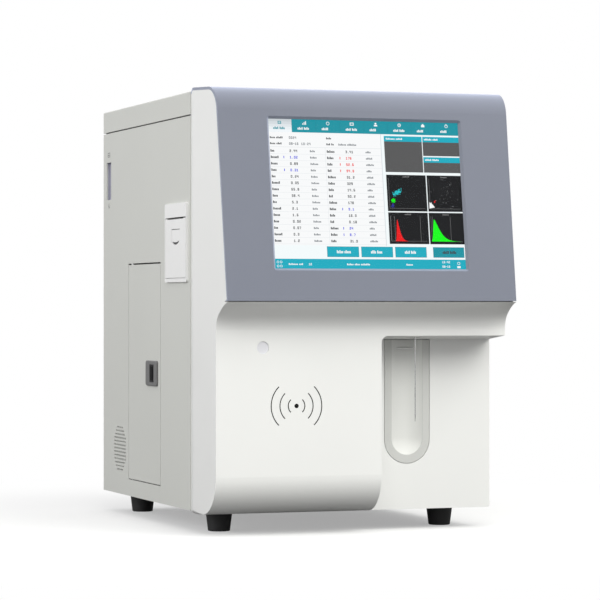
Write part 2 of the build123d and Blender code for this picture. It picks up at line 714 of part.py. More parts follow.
def latch_slider():
    """Ribbed thumb piece in the slot and the bolt behind the door leaf."""
    (s0, s1), (t0, t1) = SLOT_BACKS, SLOT_HEIGHTS
    middle = up((t0 + t1) / 2)
    y0, y1 = behind(s0 + LATCH_TRAVEL + 0.4), behind(s1 - 0.4)
    body = block(-CASE_X - 1.2, -INNER_X + 0.2, y0, y1, up(t0 + 0.4), up(t1 - 0.4))
    for i in range(3):
        y = y0 + 2.0 + 3.0 * i
        body += block(-CASE_X - 2.0, -CASE_X - 1.0, y, y + 1.2, up(t0 + 2), up(t1 - 2))
    x = -INNER_X + 0.2
    back = behind(s1 + 4)
    body += block(x, x + BOLT_THICK, y0 - 2, back, up(t0 - 3), up(t1 + 3))
    front = behind(DOOR_BACKS[0]) + SHEET + 0.3
    return body + block(x, x + BOLT_THICK, front, back, middle - BOLT_TALL / 2, middle + BOLT_TALL / 2)


def reagent_tray():
    """Open-fronted box that the reagent bottles stand in."""
    (y0, y1), (_, z1) = DOOR_BACKS, DOOR_HEIGHTS
    x0, t = -CASE_X + TRAY_MOUTH, TRAY_WALL
    ya, yb = behind(y0 - 3), behind(y1 + 3)
    body = block(x0, TRAY_BACK_X, ya, ya + t, up(SHEET), up(z1 + 2))
    body += block(x0, TRAY_BACK_X, yb - t, yb, up(SHEET), up(z1 + 2))
    body += block(TRAY_BACK_X - t, TRAY_BACK_X, ya, yb, up(SHEET), up(z1 + 2))
    body += block(x0, TRAY_BACK_X, ya, yb, up(z1), up(z1 + 2))
    return body + block(x0, TRAY_BACK_X, ya, yb, up(TRAY_FLOOR - t), up(TRAY_FLOOR))


def bottle(x, back, size_x, size_y, tall):
    """Square-shouldered bottle standing on the tray floor."""
    z = up(TRAY_FLOOR)
    body = Pos(x, behind(back), z + tall / 2) * Box(size_x, size_y, tall)
    body = fillet(body.edges().filter_by(Axis.Z), 6)
    body = chamfer(body.faces().sort_by(Axis.Z)[-1].edges(), 5)
    return body + rod_z(CAP_RADIUS - 3, z + tall, z + tall + 4, x, behind(back))


def bottle_cap(x, back, size_x, size_y, tall):
    """Cap with a pick-up tube stub."""
    z = up(TRAY_FLOOR) + tall + 4
    cap = rod_z(CAP_RADIUS, z, z + 14, x, behind(back))
    return cap + rod_z(2.0, z + 14, z + 24, x, behind(back))


# Printer


def lid_axis():
    """X and Z of the printer lid's hinge line."""
    return -CASE_X - PRINTER_PROUD + LID_THICK / 2, up(LID_HEIGHTS[0]) + 2.0


def printer_body():
    """Face frame with the paper slot above the lid, and the bucket behind the panel."""
    (y0, y1), (z0, z1), i = PRINTER_BACKS, PRINTER_HEIGHTS, PRINTER_BODY_INSET + 0.3
    face, depth = -CASE_X - PRINTER_PROUD, -CASE_X + PRINTER_DEPTH
    body = rounded_x(face, -CASE_X, behind(y0), behind(y1), up(z0), up(z1), 2.5)
    body += block(-CASE_X, depth, behind(y0 + i), behind(y1 - i), up(z0 + i), up(z1 - i))
    w = 2.0
    g = LID_GAP
    (a0, a1), (b0, b1) = LID_BACKS, LID_HEIGHTS
    back = face + LID_THICK + 0.3
    body -= block(face - 1, back, behind(a0 - g), behind(a1 + g), up(b0 - g), up(b1 + 1.2))
    inner_front, inner_rear = behind(y0 + i + w), behind(y1 - i - w)
    body -= block(-CASE_X - 0.01, depth - w, inner_front, inner_rear, up(z0 + i + w), up(b1 + 1.2))
    body -= block(-INNER_X + 2, depth - w, inner_front, inner_rear, up(b1), up(z1 - i - w))
    y, z, radius = behind(FEED_KEY[0]), up(FEED_KEY[1]), FEED_KEY[2]
    body -= rod_x(radius + RUN, face - 1, -INNER_X + 3, y, z)
    body -= rod_x(LED_DOT[2], face - 1, face + 1.5, behind(LED_DOT[0]), up(LED_DOT[1]))
    x, z = lid_axis()
    sweep = math.hypot(x - face, z - up(b0)) + LID_SWEEP_GAP
    body -= rod_y(sweep, behind(a0 - g), behind(a1 + g), x, z)
    return body - rod_y(LID_PIN_RADIUS, behind(a0 - 2.2), behind(a1 + 2.2), x, z)


def printer_lid():
    """Lid with a pocket for its release tab and two arms that carry the platen."""
    face = -CASE_X - PRINTER_PROUD
    (a0, a1), (b0, b1) = LID_BACKS, LID_HEIGHTS
    x, z = lid_axis()
    body = block(face, face + LID_THICK, behind(a0), behind(a1), up(b0), up(b1))
    body -= tab_outline(0.3, face - 1, face + TAB_THICK + 0.2)
    tab_y0, tab_y1 = (behind(v) for v in TAB_BACKS)
    body -= rod_y(0.65, tab_y0 - 2, tab_y1 + 2, face + 0.9, up(TAB_HEIGHTS[1]) - 0.9)
    platen_x, platen_z = platen_axis()
    middle = behind(sum(LID_BACKS) / 2)
    for side in (-1, 1):
        near, far = middle + side * 31.0, middle + side * 33.0
        body += block(face + LID_THICK - 0.2, platen_x + 3.5, near, far, platen_z - 5, platen_z + 3.5)
    body -= rod_y(PLATEN_SHAFT + RUN, middle - 34, middle + 34, platen_x, platen_z)
    return body - rod_y(LID_PIN_RADIUS + RUN, behind(a0 - 1), behind(a1 + 1), x, z)


def lid_pin():
    x, z = lid_axis()
    return rod_y(LID_PIN_RADIUS, behind(LID_BACKS[0] - 2.2), behind(LID_BACKS[1] + 2.2), x, z)


def platen_axis():
    """X and Z of the platen roller."""
    return -CASE_X + 7.0, up(299.5)


def platen_roller():
    x, z = platen_axis()
    middle = behind(sum(LID_BACKS) / 2)
    return rod_y(PLATEN_RADIUS, middle - 29.5, middle + 29.5, x, z) + rod_y(
        PLATEN_SHAFT, middle - 33, middle + 33, x, z
    )


def print_head():
    """Thermal head on its spring plate behind the platen."""
    x, z = platen_axis()
    x0 = x + PLATEN_RADIUS + 0.3
    middle = behind(sum(LID_BACKS) / 2)
    body = block(x0, x0 + 3, middle - 28, middle + 28, z - 7, z + 9)
    return body + block(x0 + 3, -CASE_X + PRINTER_DEPTH - 2, middle - 20, middle + 20, z + 4, z + 6)


def paper_roll():
    x, z = -CASE_X + 24.0, up(PRINTER_HEIGHTS[0] + PRINTER_BODY_INSET + 0.3 + 2.0) + ROLL_RADIUS
    middle = behind(sum(LID_BACKS) / 2)
    roll = rod_y(ROLL_RADIUS, middle - ROLL_WIDTH / 2, middle + ROLL_WIDTH / 2, x, z)
    return roll - rod_y(6.0, middle - 40, middle + 40, x, z)


def tab_outline(grow, x0, x1, short=0.0):
    """Tab shape: straight top and sides with a curved tip, which can stop short for a fingernail."""
    (y0, y1), (z0, z1) = TAB_BACKS, TAB_HEIGHTS
    ya, yb = behind(y0) - grow, behind(y1) + grow
    tip = ThreePointArc((ya, up(TAB_SIDE)), ((ya + yb) / 2, up(z0 + short) - grow), (yb, up(TAB_SIDE)))
    sides = Polyline((yb, up(TAB_SIDE)), (yb, up(z1) + grow), (ya, up(z1) + grow), (ya, up(TAB_SIDE)))
    face = make_face([*tip.edges(), *sides.edges()])
    return Pos(x0, 0, 0) * extrude(Plane.YZ * face, x1 - x0, dir=(1, 0, 0))


def release_tab():
    face = -CASE_X - PRINTER_PROUD
    y0, y1 = (behind(v) for v in TAB_BACKS)
    body = tab_outline(0, face + 0.1, face + TAB_THICK, TAB_SCOOP)
    body = body & block(-200, 0, y0 - 5, y1 + 5, 0, up(TAB_HEIGHTS[1]) - 0.5)
    return body + rod_y(0.55, y0 - 1.8, y1 + 1.8, face + 0.9, up(TAB_HEIGHTS[1]) - 0.9)


def feed_key():
    y, z, radius = behind(FEED_KEY[0]), up(FEED_KEY[1]), FEED_KEY[2]
    return rod_x(radius, -CASE_X - PRINTER_PROUD, -INNER_X + 2.0, y, z)


def status_led():
    face = -CASE_X - PRINTER_PROUD
    return rod_x(LED_DOT[2], face + 0.1, face + 1.5, behind(LED_DOT[0]), up(LED_DOT[1]))


# Sockets


def socket_bay():
    """Shallow tray behind the side panel with two upright sockets' openings."""
    (y0, y1), (z0, z1) = PORT_BACKS, PORT_HEIGHTS
    x0 = -INNER_X
    body = block(x0, x0 + PORT_RECESS + 1.5, behind(y0 - 3), behind(y1 + 3), up(z0 - 3), up(z1 + 3))
    body -= block(x0 - 1, x0 + PORT_RECESS, behind(y0), behind(y1), up(z0), up(z1))
    for z in socket_places():
        y = behind(sum(PORT_BACKS) / 2)
        body -= block(x0, x0 + 9, y - 3.4, y + 3.4, up(z) - 7, up(z) + 7)
    return body


def socket_places():
    """Heights of the two sockets in the recess."""
    return PORT_HEIGHTS[0] + 10.5, PORT_HEIGHTS[1] - 10.5


def data_sockets():
    """Two metal socket shells with their tongues."""
    y = behind(sum(PORT_BACKS) / 2)
    x0 = -INNER_X + PORT_RECESS - 0.6
    shells = []
    for z in socket_places():
        shell = block(x0, x0 + 14, y - 3.4, y + 3.4, up(z) - 7, up(z) + 7)
        shell -= block(x0 - 1, x0 + 12, y - 2.7, y + 2.7, up(z) - 6.3, up(z) + 6.3)
        shells.append(shell + block(x0 + 2, x0 + 13, y - 2.0, y - 0.4, up(z) - 5.5, up(z) + 5.5))
    return Compound(children=shells)


# Rear fittings


def fan_frame():
    y1, y0 = REAR_Y - SHEET, REAR_Y - SHEET - FAN_DEPTH
    half, z = FAN_SIZE / 2, up(FAN_UP)
    body = block(FAN_X - half, FAN_X + half, y0, y1, z - half, z + half)
    body = fillet(body.edges().filter_by(Axis.Y), 4) - rod_y(FAN_BORE, y0 - 1, y1 + 1, FAN_X, z)
    for turn in (45, 135):
        body += (Pos(FAN_X, y1 - 2.5, z) * Rot(0, turn, 0) * Box(2 * FAN_BORE + 1, 3, 4)) & rod_y(
            FAN_BORE + 0.5, y0, y1, FAN_X, z
        )
    body += rod_y(15, y1 - 5, y1 - 1, FAN_X, z)
    return body + rod_y(1.5, y0 + 3, y1 - 5, FAN_X, z)


def fan_rotor():
    y1, y0 = REAR_Y - SHEET - 6, REAR_Y - SHEET - FAN_DEPTH + 2
    z = up(FAN_UP)
    body = rod_y(16, y0, y1, FAN_X, z)
    for i in range(7):
        blade = Pos(25.5, 0, 0) * Rot(35, 0, 0) * Box(21, 2, 18)
        body += Pos(FAN_X, (y0 + y1) / 2, z) * Rot(0, i * 360 / 7, 0) * blade
    return body - rod_y(1.5 + RUN, y0 - 5, y1 + 1, FAN_X, z)


def power_inlet():
    x, z, y = INLET_X, up(INLET_UP), REAR_Y
    body = block(x - 25, x + 25, y, y + 2.5, z - 14, z + 14)
    body = fillet(body.edges().filter_by(Axis.Y), 3)
    body += block(x - 13.5, x + 13.5, y - 22, y + 0.5, z - 10, z + 10)
    return body - block(x - 11.5, x + 11.5, y - 17, y + 5, z - 8, z + 8)


def inlet_pins():
    x, z, y = INLET_X, up(INLET_UP), REAR_Y
    return Compound(children=[
        block(x + dx - 2, x + dx + 2, y - 17, y - 3, z + dz - 1, z + dz + 1)
        for dx, dz in ((-7, -2), (0, 2), (7, -2))
    ])


def switch_frame():
    x, z, y = SWITCH_X, up(INLET_UP), REAR_Y
    body = block(x - 8.5, x + 8.5, y, y + 1.5, z - 11.5, z + 11.5)
    body += block(x - 6.5, x + 6.5, y - 16, y + 0.5, z - 9.5, z + 9.5)
    body -= block(x - 5, x + 5, y - 12, y + 5, z - 8.2, z + 8.2)
    return body + rod_x(1.0, x - 5.2, x + 5.2, y - 2, z)


def power_rocker():
    """Rocker with two sloping faces that meet over its pivot."""
    x, z, y = SWITCH_X, up(INLET_UP), REAR_Y
    outline = Polyline(
        (y - 7, z - 5), (y - 7, z + 5), (y - 0.5, z + 7.4), (y + 3.2, z + 7.2),
        (y + 1.8, z), (y + 3.2, z - 7.2), (y - 0.5, z - 7.4), close=True,
    )
    body = Pos(x - 4.7, 0, 0) * extrude(Plane.YZ * make_face(outline), 9.4, dir=(1, 0, 0))
    return body - rod_x(1.0 + RUN, x - 6, x + 6, y - 2, z)


def spigot_places():
    return [SPIGOT_X + (i - 1.5) * SPIGOT_PITCH for i in range(4)]


def hose_spigots():
    """Plate with four barbed stubs for the reagent and waste hoses."""
    z, y = up(SPIGOT_UP), REAR_Y
    xs = spigot_places()
    body = block(xs[0] - 14, xs[-1] + 14, y, y + 2, z - 13, z + 13)
    body = fillet(body.edges().filter_by(Axis.Y), 3)
    for x in xs:
        body += rod_y(SPIGOT_RADIUS, y - 8, y + SPIGOT_REACH, x, z)
        barb = Rot(-90, 0, 0) * Cone(SPIGOT_RADIUS + 0.8, SPIGOT_RADIUS, 3)
        body += Pos(x, y + SPIGOT_REACH - 4.5, z) * barb
        body += rod_y(SPIGOT_RADIUS + 2, y + 2, y + 4, x, z)
        body -= rod_y(1.6, y - 9, y + SPIGOT_REACH + 1, x, z)
    return body


def rear_screws():
    heads = []
    for x in (-150, -60, 30, 150):
        for z in (up(8), TOP_Z - TOP_SKIRT - 8):
            heads.append(rod_y(3.0, REAR_Y, REAR_Y + 1.6, x, z))
    return Compound(children=heads)


# Inside the case


SYRINGE_X = 76.0
SYRINGE_BACK = 24.0
SYRINGE_LOW = DECK_HEIGHT - 182.0
SYRINGE_TRAVEL = 40.0
BARRELS = ((-38.0, 4.0), (-20.0, 3.0), (26.0, 2.4))


def syringe_frame():
    """Plate with three brackets: bottom bearing, barrel seat and barrel cap."""
    x0, x1, y0 = SYRINGE_X - 50, SYRINGE_X + 45, behind(FRAME_BACK)
    y, low = behind(SYRINGE_BACK), up(SYRINGE_LOW)
    body = block(x0, x1, y0, y0 + 3, low - 26, low + 168)
    for z, tall in ((low, 6), (low + 76, 6), (low + 160, 8)):
        body += block(x0, x1, y0, y + 12, z, z + tall)
    for z in (low - 1, low + 75):
        body -= rod_z(3 + SCREW_RUN, z, z + 8, SYRINGE_X, y)
    for dx, radius in BARRELS:
        body -= rod_z(radius + 0.1, low + 75, low + 83, SYRINGE_X + dx, y)
    return body


def syringe_barrels():
    y, z = behind(SYRINGE_BACK), up(SYRINGE_LOW) + 82
    tubes = []
    for dx, radius in BARRELS:
        tube = rod_z(radius + 2.5, z, z + 78, SYRINGE_X + dx, y)
        tubes.append(tube - rod_z(radius + 0.1, z - 1, z + 85, SYRINGE_X + dx, y))
    return Compound(children=tubes)


def syringe_carriage():
    """Cross bar on the screw with the three plungers standing on it."""
    y, z = behind(SYRINGE_BACK), up(SYRINGE_LOW) + 54
    body = block(SYRINGE_X - 46, SYRINGE_X + 34, y - 8, y + 8, z, z + 10)
    body -= rod_z(3 + SCREW_RUN, z - 1, z + 11, SYRINGE_X, y)
    for dx, radius in BARRELS:
        body += rod_z(radius - 0.6, z + 10, z + 98, SYRINGE_X + dx, y)
        body += rod_z(radius, z + 98, z + 104, SYRINGE_X + dx, y)
    return body


def syringe_screw():
    return rod_z(3.0, up(SYRINGE_LOW) - 12, up(SYRINGE_LOW) + 81.5, SYRINGE_X, behind(SYRINGE_BACK))


def syringe_motor():
    y, z = behind(SYRINGE_BACK), up(SYRINGE_LOW)
    half = MOTOR_HALF
    body = block(SYRINGE_X - half, SYRINGE_X + half, y - half, y + half, z - 24, z)
    body = chamfer(body.edges().filter_by(Axis.Z), 3)
    return body - rod_z(3 + SCREW_RUN, z - 13, z + 1, SYRINGE_X, y)


def valve_bank():
    """Fluid manifold with two columns of solenoid valves."""
    y = behind(FRAME_BACK)
    body = block(-48, 12, y, y + 16, up(86), up(226))
    for x in (-34, -2):
        for row in range(5):
            z = up(98 + row * 29)
            body += block(x - 9, x + 9, y + 15, y + 24, z - 9, z + 9)
            body += rod_y(7.5, y + 23, y + 46, x, z)
    return body


def vacuum_tank():
    x, y = -8.0, REAR_Y - 78
    body = rod_z(34, up(SHEET), up(150), x, y)
    body = fillet(body.edges().sort_by(Axis.Z)[-1], 8)
    return body + rod_z(5, up(149), up(160), x, y)


def air_pump():
    """Diaphragm pump: motor on its side between two heads."""
    z, left = up(SHEET), INNER_X - 114.5
    body = block(left, left + 80, behind(100), behind(160), z, z + 6)
    body += rod_x(20, left + 17, left + 63, behind(130), z + 28)
    body += block(left + 17, left + 63, behind(118), behind(142), z + 5, z + 20)
    for x in (left + 1, left + 63):
        body += block(x, x + 16, behind(106), behind(154), z + 5, z + 58)
    return body


def power_supply():
    z, left, right = up(SHEET), INNER_X - 109.5, INNER_X - 4.5
    body = block(left, right, REAR_Y - 134, REAR_Y - 18, z, z + 48)
    for i in range(8):
        y = REAR_Y - 118 + i * 11
        body -= block(left + 10, right - 10, y, y + 4, z + 46, z + 50)
    return body


def main_board():
    """Processor board on standoffs with its larger parts."""
    z = up(DECK_HEIGHT) + SHEET
    front, rear = behind(100), REAR_Y - 44
    body = block(-48, 60, front, rear, z + 6, z + 7.6)
    for x in (-43, 55):
        for y in (front + 5, (front + rear) / 2, rear - 5):
            body += rod_z(3, z, z + 6.2, x, y)
    body += block(-20, 14, behind(160), behind(194), z + 7.5, z + 16)
    for back in (118, 150, 210, 244):
        body += block(34, 54, behind(back), behind(back + 22), z + 7.5, z + 14)
    for x in (-40, -14, 12):
        body += block(x, x + 20, rear - 14, rear - 1, z + 7.5, z + 19)
    return body


def optics_base():
    z = up(DECK_HEIGHT) + SHEET
    body = block(-40, INNER_X - 19.5, behind(16), behind(84), z, z + 8)
    for x in (-28, 20):
        body += block(x, x + 10, behind(34), behind(66), z + 7, z + 22)
    return body


def laser_tube():
    z = up(DECK_HEIGHT) + SHEET + 36
    return rod_x(14, -36, 44, behind(50), z)


def flow_cell():
    z = up(DECK_HEIGHT) + SHEET + 8
    body = block(58, 84, behind(36), behind(64), z, z + 50)
    body += rod_z(4, z + 49, z + 60, 71, behind(50))
    return body - rod_x(5, 57, 85, behind(50), z + 28)


def light_detector():
    z = up(DECK_HEIGHT) + SHEET + 8
    body = block(100, 128, behind(32), behind(68), z, z + 46)
    return body + rod_x(8, 92, 100.5, behind(50), z + 28)


def indicator_lenses():
    return Compound(children=[status_lens(), status_led()])


def stepper_motors():
    return Compound(children=[lift_motor(), syringe_motor()])


def feet():
    return Compound(children=[foot(side * FOOT_X, back) for side in (-1, 1) for back in FOOT_BACKS])


NODES = {
    "front_cover": front_cover,
    "display_bezel": display_bezel,
    "touch_glass": touch_glass,
    "lcd_panel": lcd_panel,
    "display_bracket": display_bracket,
    "indicator_lenses": indicator_lenses,
    "start_key": start_key,
    "hinge_pins": lambda: Compound(children=[key_pin(), lid_pin()]),
    "start_switch": start_switch,
    "lift_frame": lift_frame,
    "guide_rods": guide_rods,
    "lift_screw": lift_screw,
    "stepper_motors": stepper_motors,
    "probe_carrier": probe_carrier,
    "sampling_probe": sampling_probe,
    "wash_block": wash_block,
    "sample_valve": lambda: Compound(children=[valve_base(), valve_face()]),
    "valve_rotor": valve_rotor,
    "count_baths": lambda: Compound(children=[count_bath(-96), count_bath(-38)]),
    "inner_frame": lambda: Compound(children=[front_frame(), upper_deck()]),
    "base_tray": base_tray,
    "top_cover": top_cover,
    "left_panel": left_panel,
    "right_panel": right_panel,
    "rear_panel": rear_panel,
    "feet": feet,
    "side_door": side_door,
    "door_pivots": door_pivots,
    "latch_frame": latch_frame,
    "latch_slider": latch_slider,
    "reagent_tray": reagent_tray,
    "reagent_bottles": lambda: Compound(children=[bottle(*b) for b in BOTTLES]),
    "bottle_caps": lambda: Compound(children=[bottle_cap(*b) for b in BOTTLES]),
    "printer_body": printer_body,
    "printer_lid": printer_lid,
    "platen_roller": platen_roller,
    "print_head": print_head,
    "paper_roll": paper_roll,
    "release_tab": release_tab,
    "feed_key": feed_key,
    "socket_bay": socket_bay,
    "metal_contacts": lambda: Compound(children=[*data_sockets().children, *inlet_pins().children]),
    "fan_frame": fan_frame,
    "fan_rotor": fan_rotor,
    "power_entry": lambda: Compound(children=[power_inlet(), switch_frame()]),
    "power_rocker": power_rocker,
    "hose_spigots": hose_spigots,
    "rear_screws": rear_screws,
    "syringe_frame": syringe_frame,
    "syringe_barrels": syringe_barrels,
    "syringe_carriage": syringe_carriage,
    "syringe_screw": syringe_screw,
    "valve_bank": valve_bank,
    "vacuum_tank": vacuum_tank,
    "air_pump": air_pump,
    "power_supply": power_supply,
    "main_board": main_board,
    "optics_base": optics_base,
    "laser_tube": laser_tube,
    "optics_blocks": lambda: Compound(children=[flow_cell(), light_detector()]),
}

for node, make in NODES.items():
    save(node, make())
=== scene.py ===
import math

import bpy
import numpy as np
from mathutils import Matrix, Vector


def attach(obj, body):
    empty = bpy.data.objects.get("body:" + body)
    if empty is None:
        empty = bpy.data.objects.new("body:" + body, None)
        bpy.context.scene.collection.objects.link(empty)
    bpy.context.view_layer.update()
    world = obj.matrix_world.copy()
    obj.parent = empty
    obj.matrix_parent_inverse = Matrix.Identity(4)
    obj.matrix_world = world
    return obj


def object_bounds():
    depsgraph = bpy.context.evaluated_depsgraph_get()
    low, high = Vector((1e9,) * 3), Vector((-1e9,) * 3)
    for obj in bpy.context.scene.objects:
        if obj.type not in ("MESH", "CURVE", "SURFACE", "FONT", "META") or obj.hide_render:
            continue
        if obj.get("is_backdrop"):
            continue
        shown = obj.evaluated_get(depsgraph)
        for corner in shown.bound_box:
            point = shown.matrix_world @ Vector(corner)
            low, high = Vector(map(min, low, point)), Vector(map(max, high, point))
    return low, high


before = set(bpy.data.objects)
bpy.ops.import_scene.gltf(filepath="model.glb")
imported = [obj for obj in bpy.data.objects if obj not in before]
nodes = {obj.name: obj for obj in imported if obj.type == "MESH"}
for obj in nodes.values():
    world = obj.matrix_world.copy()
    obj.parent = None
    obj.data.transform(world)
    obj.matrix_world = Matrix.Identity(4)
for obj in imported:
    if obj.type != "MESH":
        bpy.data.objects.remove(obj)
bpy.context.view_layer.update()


# Front cover and start key: white ABS mouldings with a fine satin spark finish.
# The cover is one tapered shell screwed to the case from inside; the key hangs in its own opening.


def shader(name):
    """A new material with its node tree and its Principled shader."""
    material = bpy.data.materials.new(name)
    material.use_nodes = True
    tree = material.node_tree
    principled = tree.nodes["Principled BSDF"]
    return material, tree, principled


def speckle(tree, scale, detail=4.0):
    """Noise on Object coordinates, scale in cycles per metre."""
    place = tree.nodes.new("ShaderNodeTexCoord")
    noise = tree.nodes.new("ShaderNodeTexNoise")
    noise.inputs["Scale"].default_value = scale
    noise.inputs["Detail"].default_value = detail
    tree.links.new(place.outputs["Object"], noise.inputs["Vector"])
    return noise.outputs["Fac"]


def between(tree, factor, low, high):
    """Colour ramp from low to high as factor goes from 0.3 to 0.7."""
    ramp = tree.nodes.new("ShaderNodeValToRGB")
    ramp.color_ramp.elements[0].position = 0.3
    ramp.color_ramp.elements[1].position = 0.7
    ramp.color_ramp.elements[0].color = (*low, 1)
    ramp.color_ramp.elements[1].color = (*high, 1)
    tree.links.new(factor, ramp.inputs["Fac"])
    return ramp.outputs["Color"]


def raised(tree, principled, factor, depth, strength):
    """Bump of a given depth in metres into the shader's normal."""
    bump = tree.nodes.new("ShaderNodeBump")
    bump.inputs["Distance"].default_value = depth
    bump.inputs["Strength"].default_value = strength
    tree.links.new(factor, bump.inputs["Height"])
    tree.links.new(bump.outputs["Normal"], principled.inputs["Normal"])


def moulding(name, colour, roughness=0.42, grain=2600.0, depth=0.00002, spread=0.015, shine=0.5):
    """Moulded plastic: slow colour drift, small changes of gloss and a fine spark texture.

    Drift has 7 and gloss 40 cycles per metre; grain is the cycles per metre of the spark texture.
    """
    material, tree, principled = shader(name)
    principled.inputs["Specular IOR Level"].default_value = shine
    low = tuple(c * (1 - spread) for c in colour)
    high = tuple(min(c * (1 + spread), 1) for c in colour)
    drift = speckle(tree, 7.0, 3.0)
    tree.links.new(between(tree, drift, low, high), principled.inputs["Base Color"])
    uneven = 0.04
    gloss = between(tree, speckle(tree, 40.0), (roughness - uneven,) * 3, (roughness + uneven,) * 3)
    tree.links.new(gloss, principled.inputs["Roughness"])
    raised(tree, principled, speckle(tree, grain, 2.0), depth, 0.35)
    return material


def dress(material, *names):
    """Puts one material on whole CAD nodes."""
    for name in names:
        mesh = nodes[name].data
        mesh.materials.clear()
        mesh.materials.append(material)


def recolour(material, name, low, high, colour):
    """Gives a node's skin another colour inside one box of space, from corner low to corner high.

    A point is inside where the largest of its three distances from the middle, each less half the
    box's size that way, is below zero.
    """
    tree = material.node_tree
    principled = tree.nodes["Principled BSDF"]
    origin = nodes[name].matrix_world.translation
    middle = [(a + b) / 2 - c for a, b, c in zip(low, high, origin)]
    half = [(b - a) / 2 for a, b in zip(low, high)]
    place = tree.nodes.new("ShaderNodeTexCoord")
    vector = place.outputs["Object"]
    for operation, values in (("SUBTRACT", middle), ("ABSOLUTE", None), ("SUBTRACT", half)):
        step = tree.nodes.new("ShaderNodeVectorMath")
        step.operation = operation
        tree.links.new(vector, step.inputs[0])
        if values:
            step.inputs[1].default_value = values
        vector = step.outputs["Vector"]
    axes = tree.nodes.new("ShaderNodeSeparateXYZ")
    tree.links.new(vector, axes.inputs[0])
    largest = axes.outputs["X"]
    for axis in ("Y", "Z"):
        larger = tree.nodes.new("ShaderNodeMath")
        larger.operation = "MAXIMUM"
        tree.links.new(largest, larger.inputs[0])
        tree.links.new(axes.outputs[axis], larger.inputs[1])
        largest = larger.outputs[0]
    inside = tree.nodes.new("ShaderNodeMath")
    inside.operation = "LESS_THAN"
    inside.inputs[1].default_value = 0.0
    tree.links.new(largest, inside.inputs[0])
    mix = tree.nodes.new("ShaderNodeMix")
    mix.data_type = "RGBA"
    tree.links.new(inside.outputs[0], mix.inputs["Factor"])
    before = principled.inputs["Base Color"].links[0].from_socket
    tree.links.new(before, mix.inputs["A"])
    mix.inputs["B"].default_value = (*colour, 1)
    tree.links.new(mix.outputs["Result"], principled.inputs["Base Color"])


cover_white = moulding("cover_white", (0.845, 0.848, 0.835), 0.33)
dress(cover_white, "front_cover")

# Painted light: the key's channel, 0.4 mm behind the rim's face, is coloured lighter than the rim.
CHANNEL_LOW, CHANNEL_HIGH = (0.0440, -0.1545, 0.0600), (0.0910, -0.1400, 0.2100)
CHANNEL_PAINTED_LIGHT = (0.75, 0.755, 0.733)
key_white = moulding("key_white", (0.61, 0.615, 0.597), 0.62, shine=0.3)
recolour(key_white, "start_key", CHANNEL_LOW, CHANNEL_HIGH, CHANNEL_PAINTED_LIGHT)
dress(key_white, "start_key")


# Display bezel: grey-blue ABS skin over the slanted face and the top, clipped to the cover from
# behind. Its soft-touch lacquer turns paler and bluer where it is seen along the surface, as on the
# top curve.

LACQUER_WEIGHT, LACQUER_SOFTNESS, LACQUER_TINT = 1.0, 0.6, (0.72, 0.78, 1.0)
bezel_blue = moulding("bezel_grey_blue", (0.155, 0.166, 0.202), 0.50, 3200.0, 0.00002, 0.02)
bezel_shader = bezel_blue.node_tree.nodes["Principled BSDF"]
bezel_shader.inputs["Sheen Weight"].default_value = LACQUER_WEIGHT
bezel_shader.inputs["Sheen Roughness"].default_value = LACQUER_SOFTNESS
bezel_shader.inputs["Sheen Tint"].default_value = (*LACQUER_TINT, 1)
dress(bezel_blue, "display_bezel")


# Sheet metal case: steel panels with a fine textured powder coat, warm light grey.
# The top cover's skirt laps over the side panels; the rear panel and the door have the same paint.


def powder_coat(name, colour):
    """Powder coat: small orange peel under a finer grain, slightly uneven gloss.

    The colour drifts with 5 cycles per metre; the peel has 900 and the grain 4,200.
    """
    material, tree, principled = shader(name)
    principled.inputs["Specular IOR Level"].default_value = 0.3
    low = tuple(c * 0.975 for c in colour)
    drift = speckle(tree, 5.0, 3.0)
    tree.links.new(between(tree, drift, low, colour), principled.inputs["Base Color"])
    peel = speckle(tree, 900.0, 1.0)
    grain = speckle(tree, 4200.0, 1.0)
    add = tree.nodes.new("ShaderNodeMath")
    add.operation = "ADD"
    tree.links.new(peel, add.inputs[0])
    tree.links.new(grain, add.inputs[1])
    raised(tree, principled, add.outputs[0], 0.00003, 0.35)
    tree.links.new(between(tree, peel, (0.42,) * 3, (0.52,) * 3), principled.inputs["Roughness"])
    return material


CASE_GREY = (0.645, 0.652, 0.618)
case_paint = powder_coat("case_paint", CASE_GREY)
dress(case_paint, "top_cover", "rear_panel", "side_door")

# A strip along the top of each side panel backs the top cover's skirt. Above the panel's own edge
# it is coloured near black as painted shade, so the seam between the parts shows as a dark line.
SEAM_HEIGHT = 0.4356
SEAM_PAINTED_SHADE = (0.05, 0.05, 0.05)
side_paint = powder_coat("side_paint", CASE_GREY)
recolour(side_paint, "left_panel", (-0.2, -0.2, SEAM_HEIGHT), (0.2, 0.3, 0.5), SEAM_PAINTED_SHADE)
dress(side_paint, "left_panel", "right_panel")


# Metal parts: zinc plated inner sheet, ground pins and rods, nickel plated contacts and screws,
# machined aluminium. All is rolled, drawn or ground stock, so the gloss runs in one direction.


def plated(name, colour, roughness, along=(1.0, 60.0, 60.0)):
    """Metal with streaks: one noise drives colour, gloss and a slight bump.

    It has 12 cycles per metre, times the number in along for each axis.
    """
    material, tree, principled = shader(name)
    principled.inputs["Metallic"].default_value = 1.0
    place = tree.nodes.new("ShaderNodeTexCoord")
    stretch = tree.nodes.new("ShaderNodeMapping")
    stretch.inputs["Scale"].default_value = along
    noise = tree.nodes.new("ShaderNodeTexNoise")
    noise.inputs["Scale"].default_value = 12.0
    tree.links.new(place.outputs["Object"], stretch.inputs["Vector"])
    tree.links.new(stretch.outputs["Vector"], noise.inputs["Vector"])
    streak = noise.outputs["Fac"]
    low = tuple(c * 0.92 for c in colour)
    tree.links.new(between(tree, streak, low, colour), principled.inputs["Base Color"])
    gloss = between(tree, streak, (roughness - 0.06,) * 3, (roughness + 0.08,) * 3)
    tree.links.new(gloss, principled.inputs["Roughness"])
    raised(tree, principled, streak, 0.00001, 0.2)
    return material


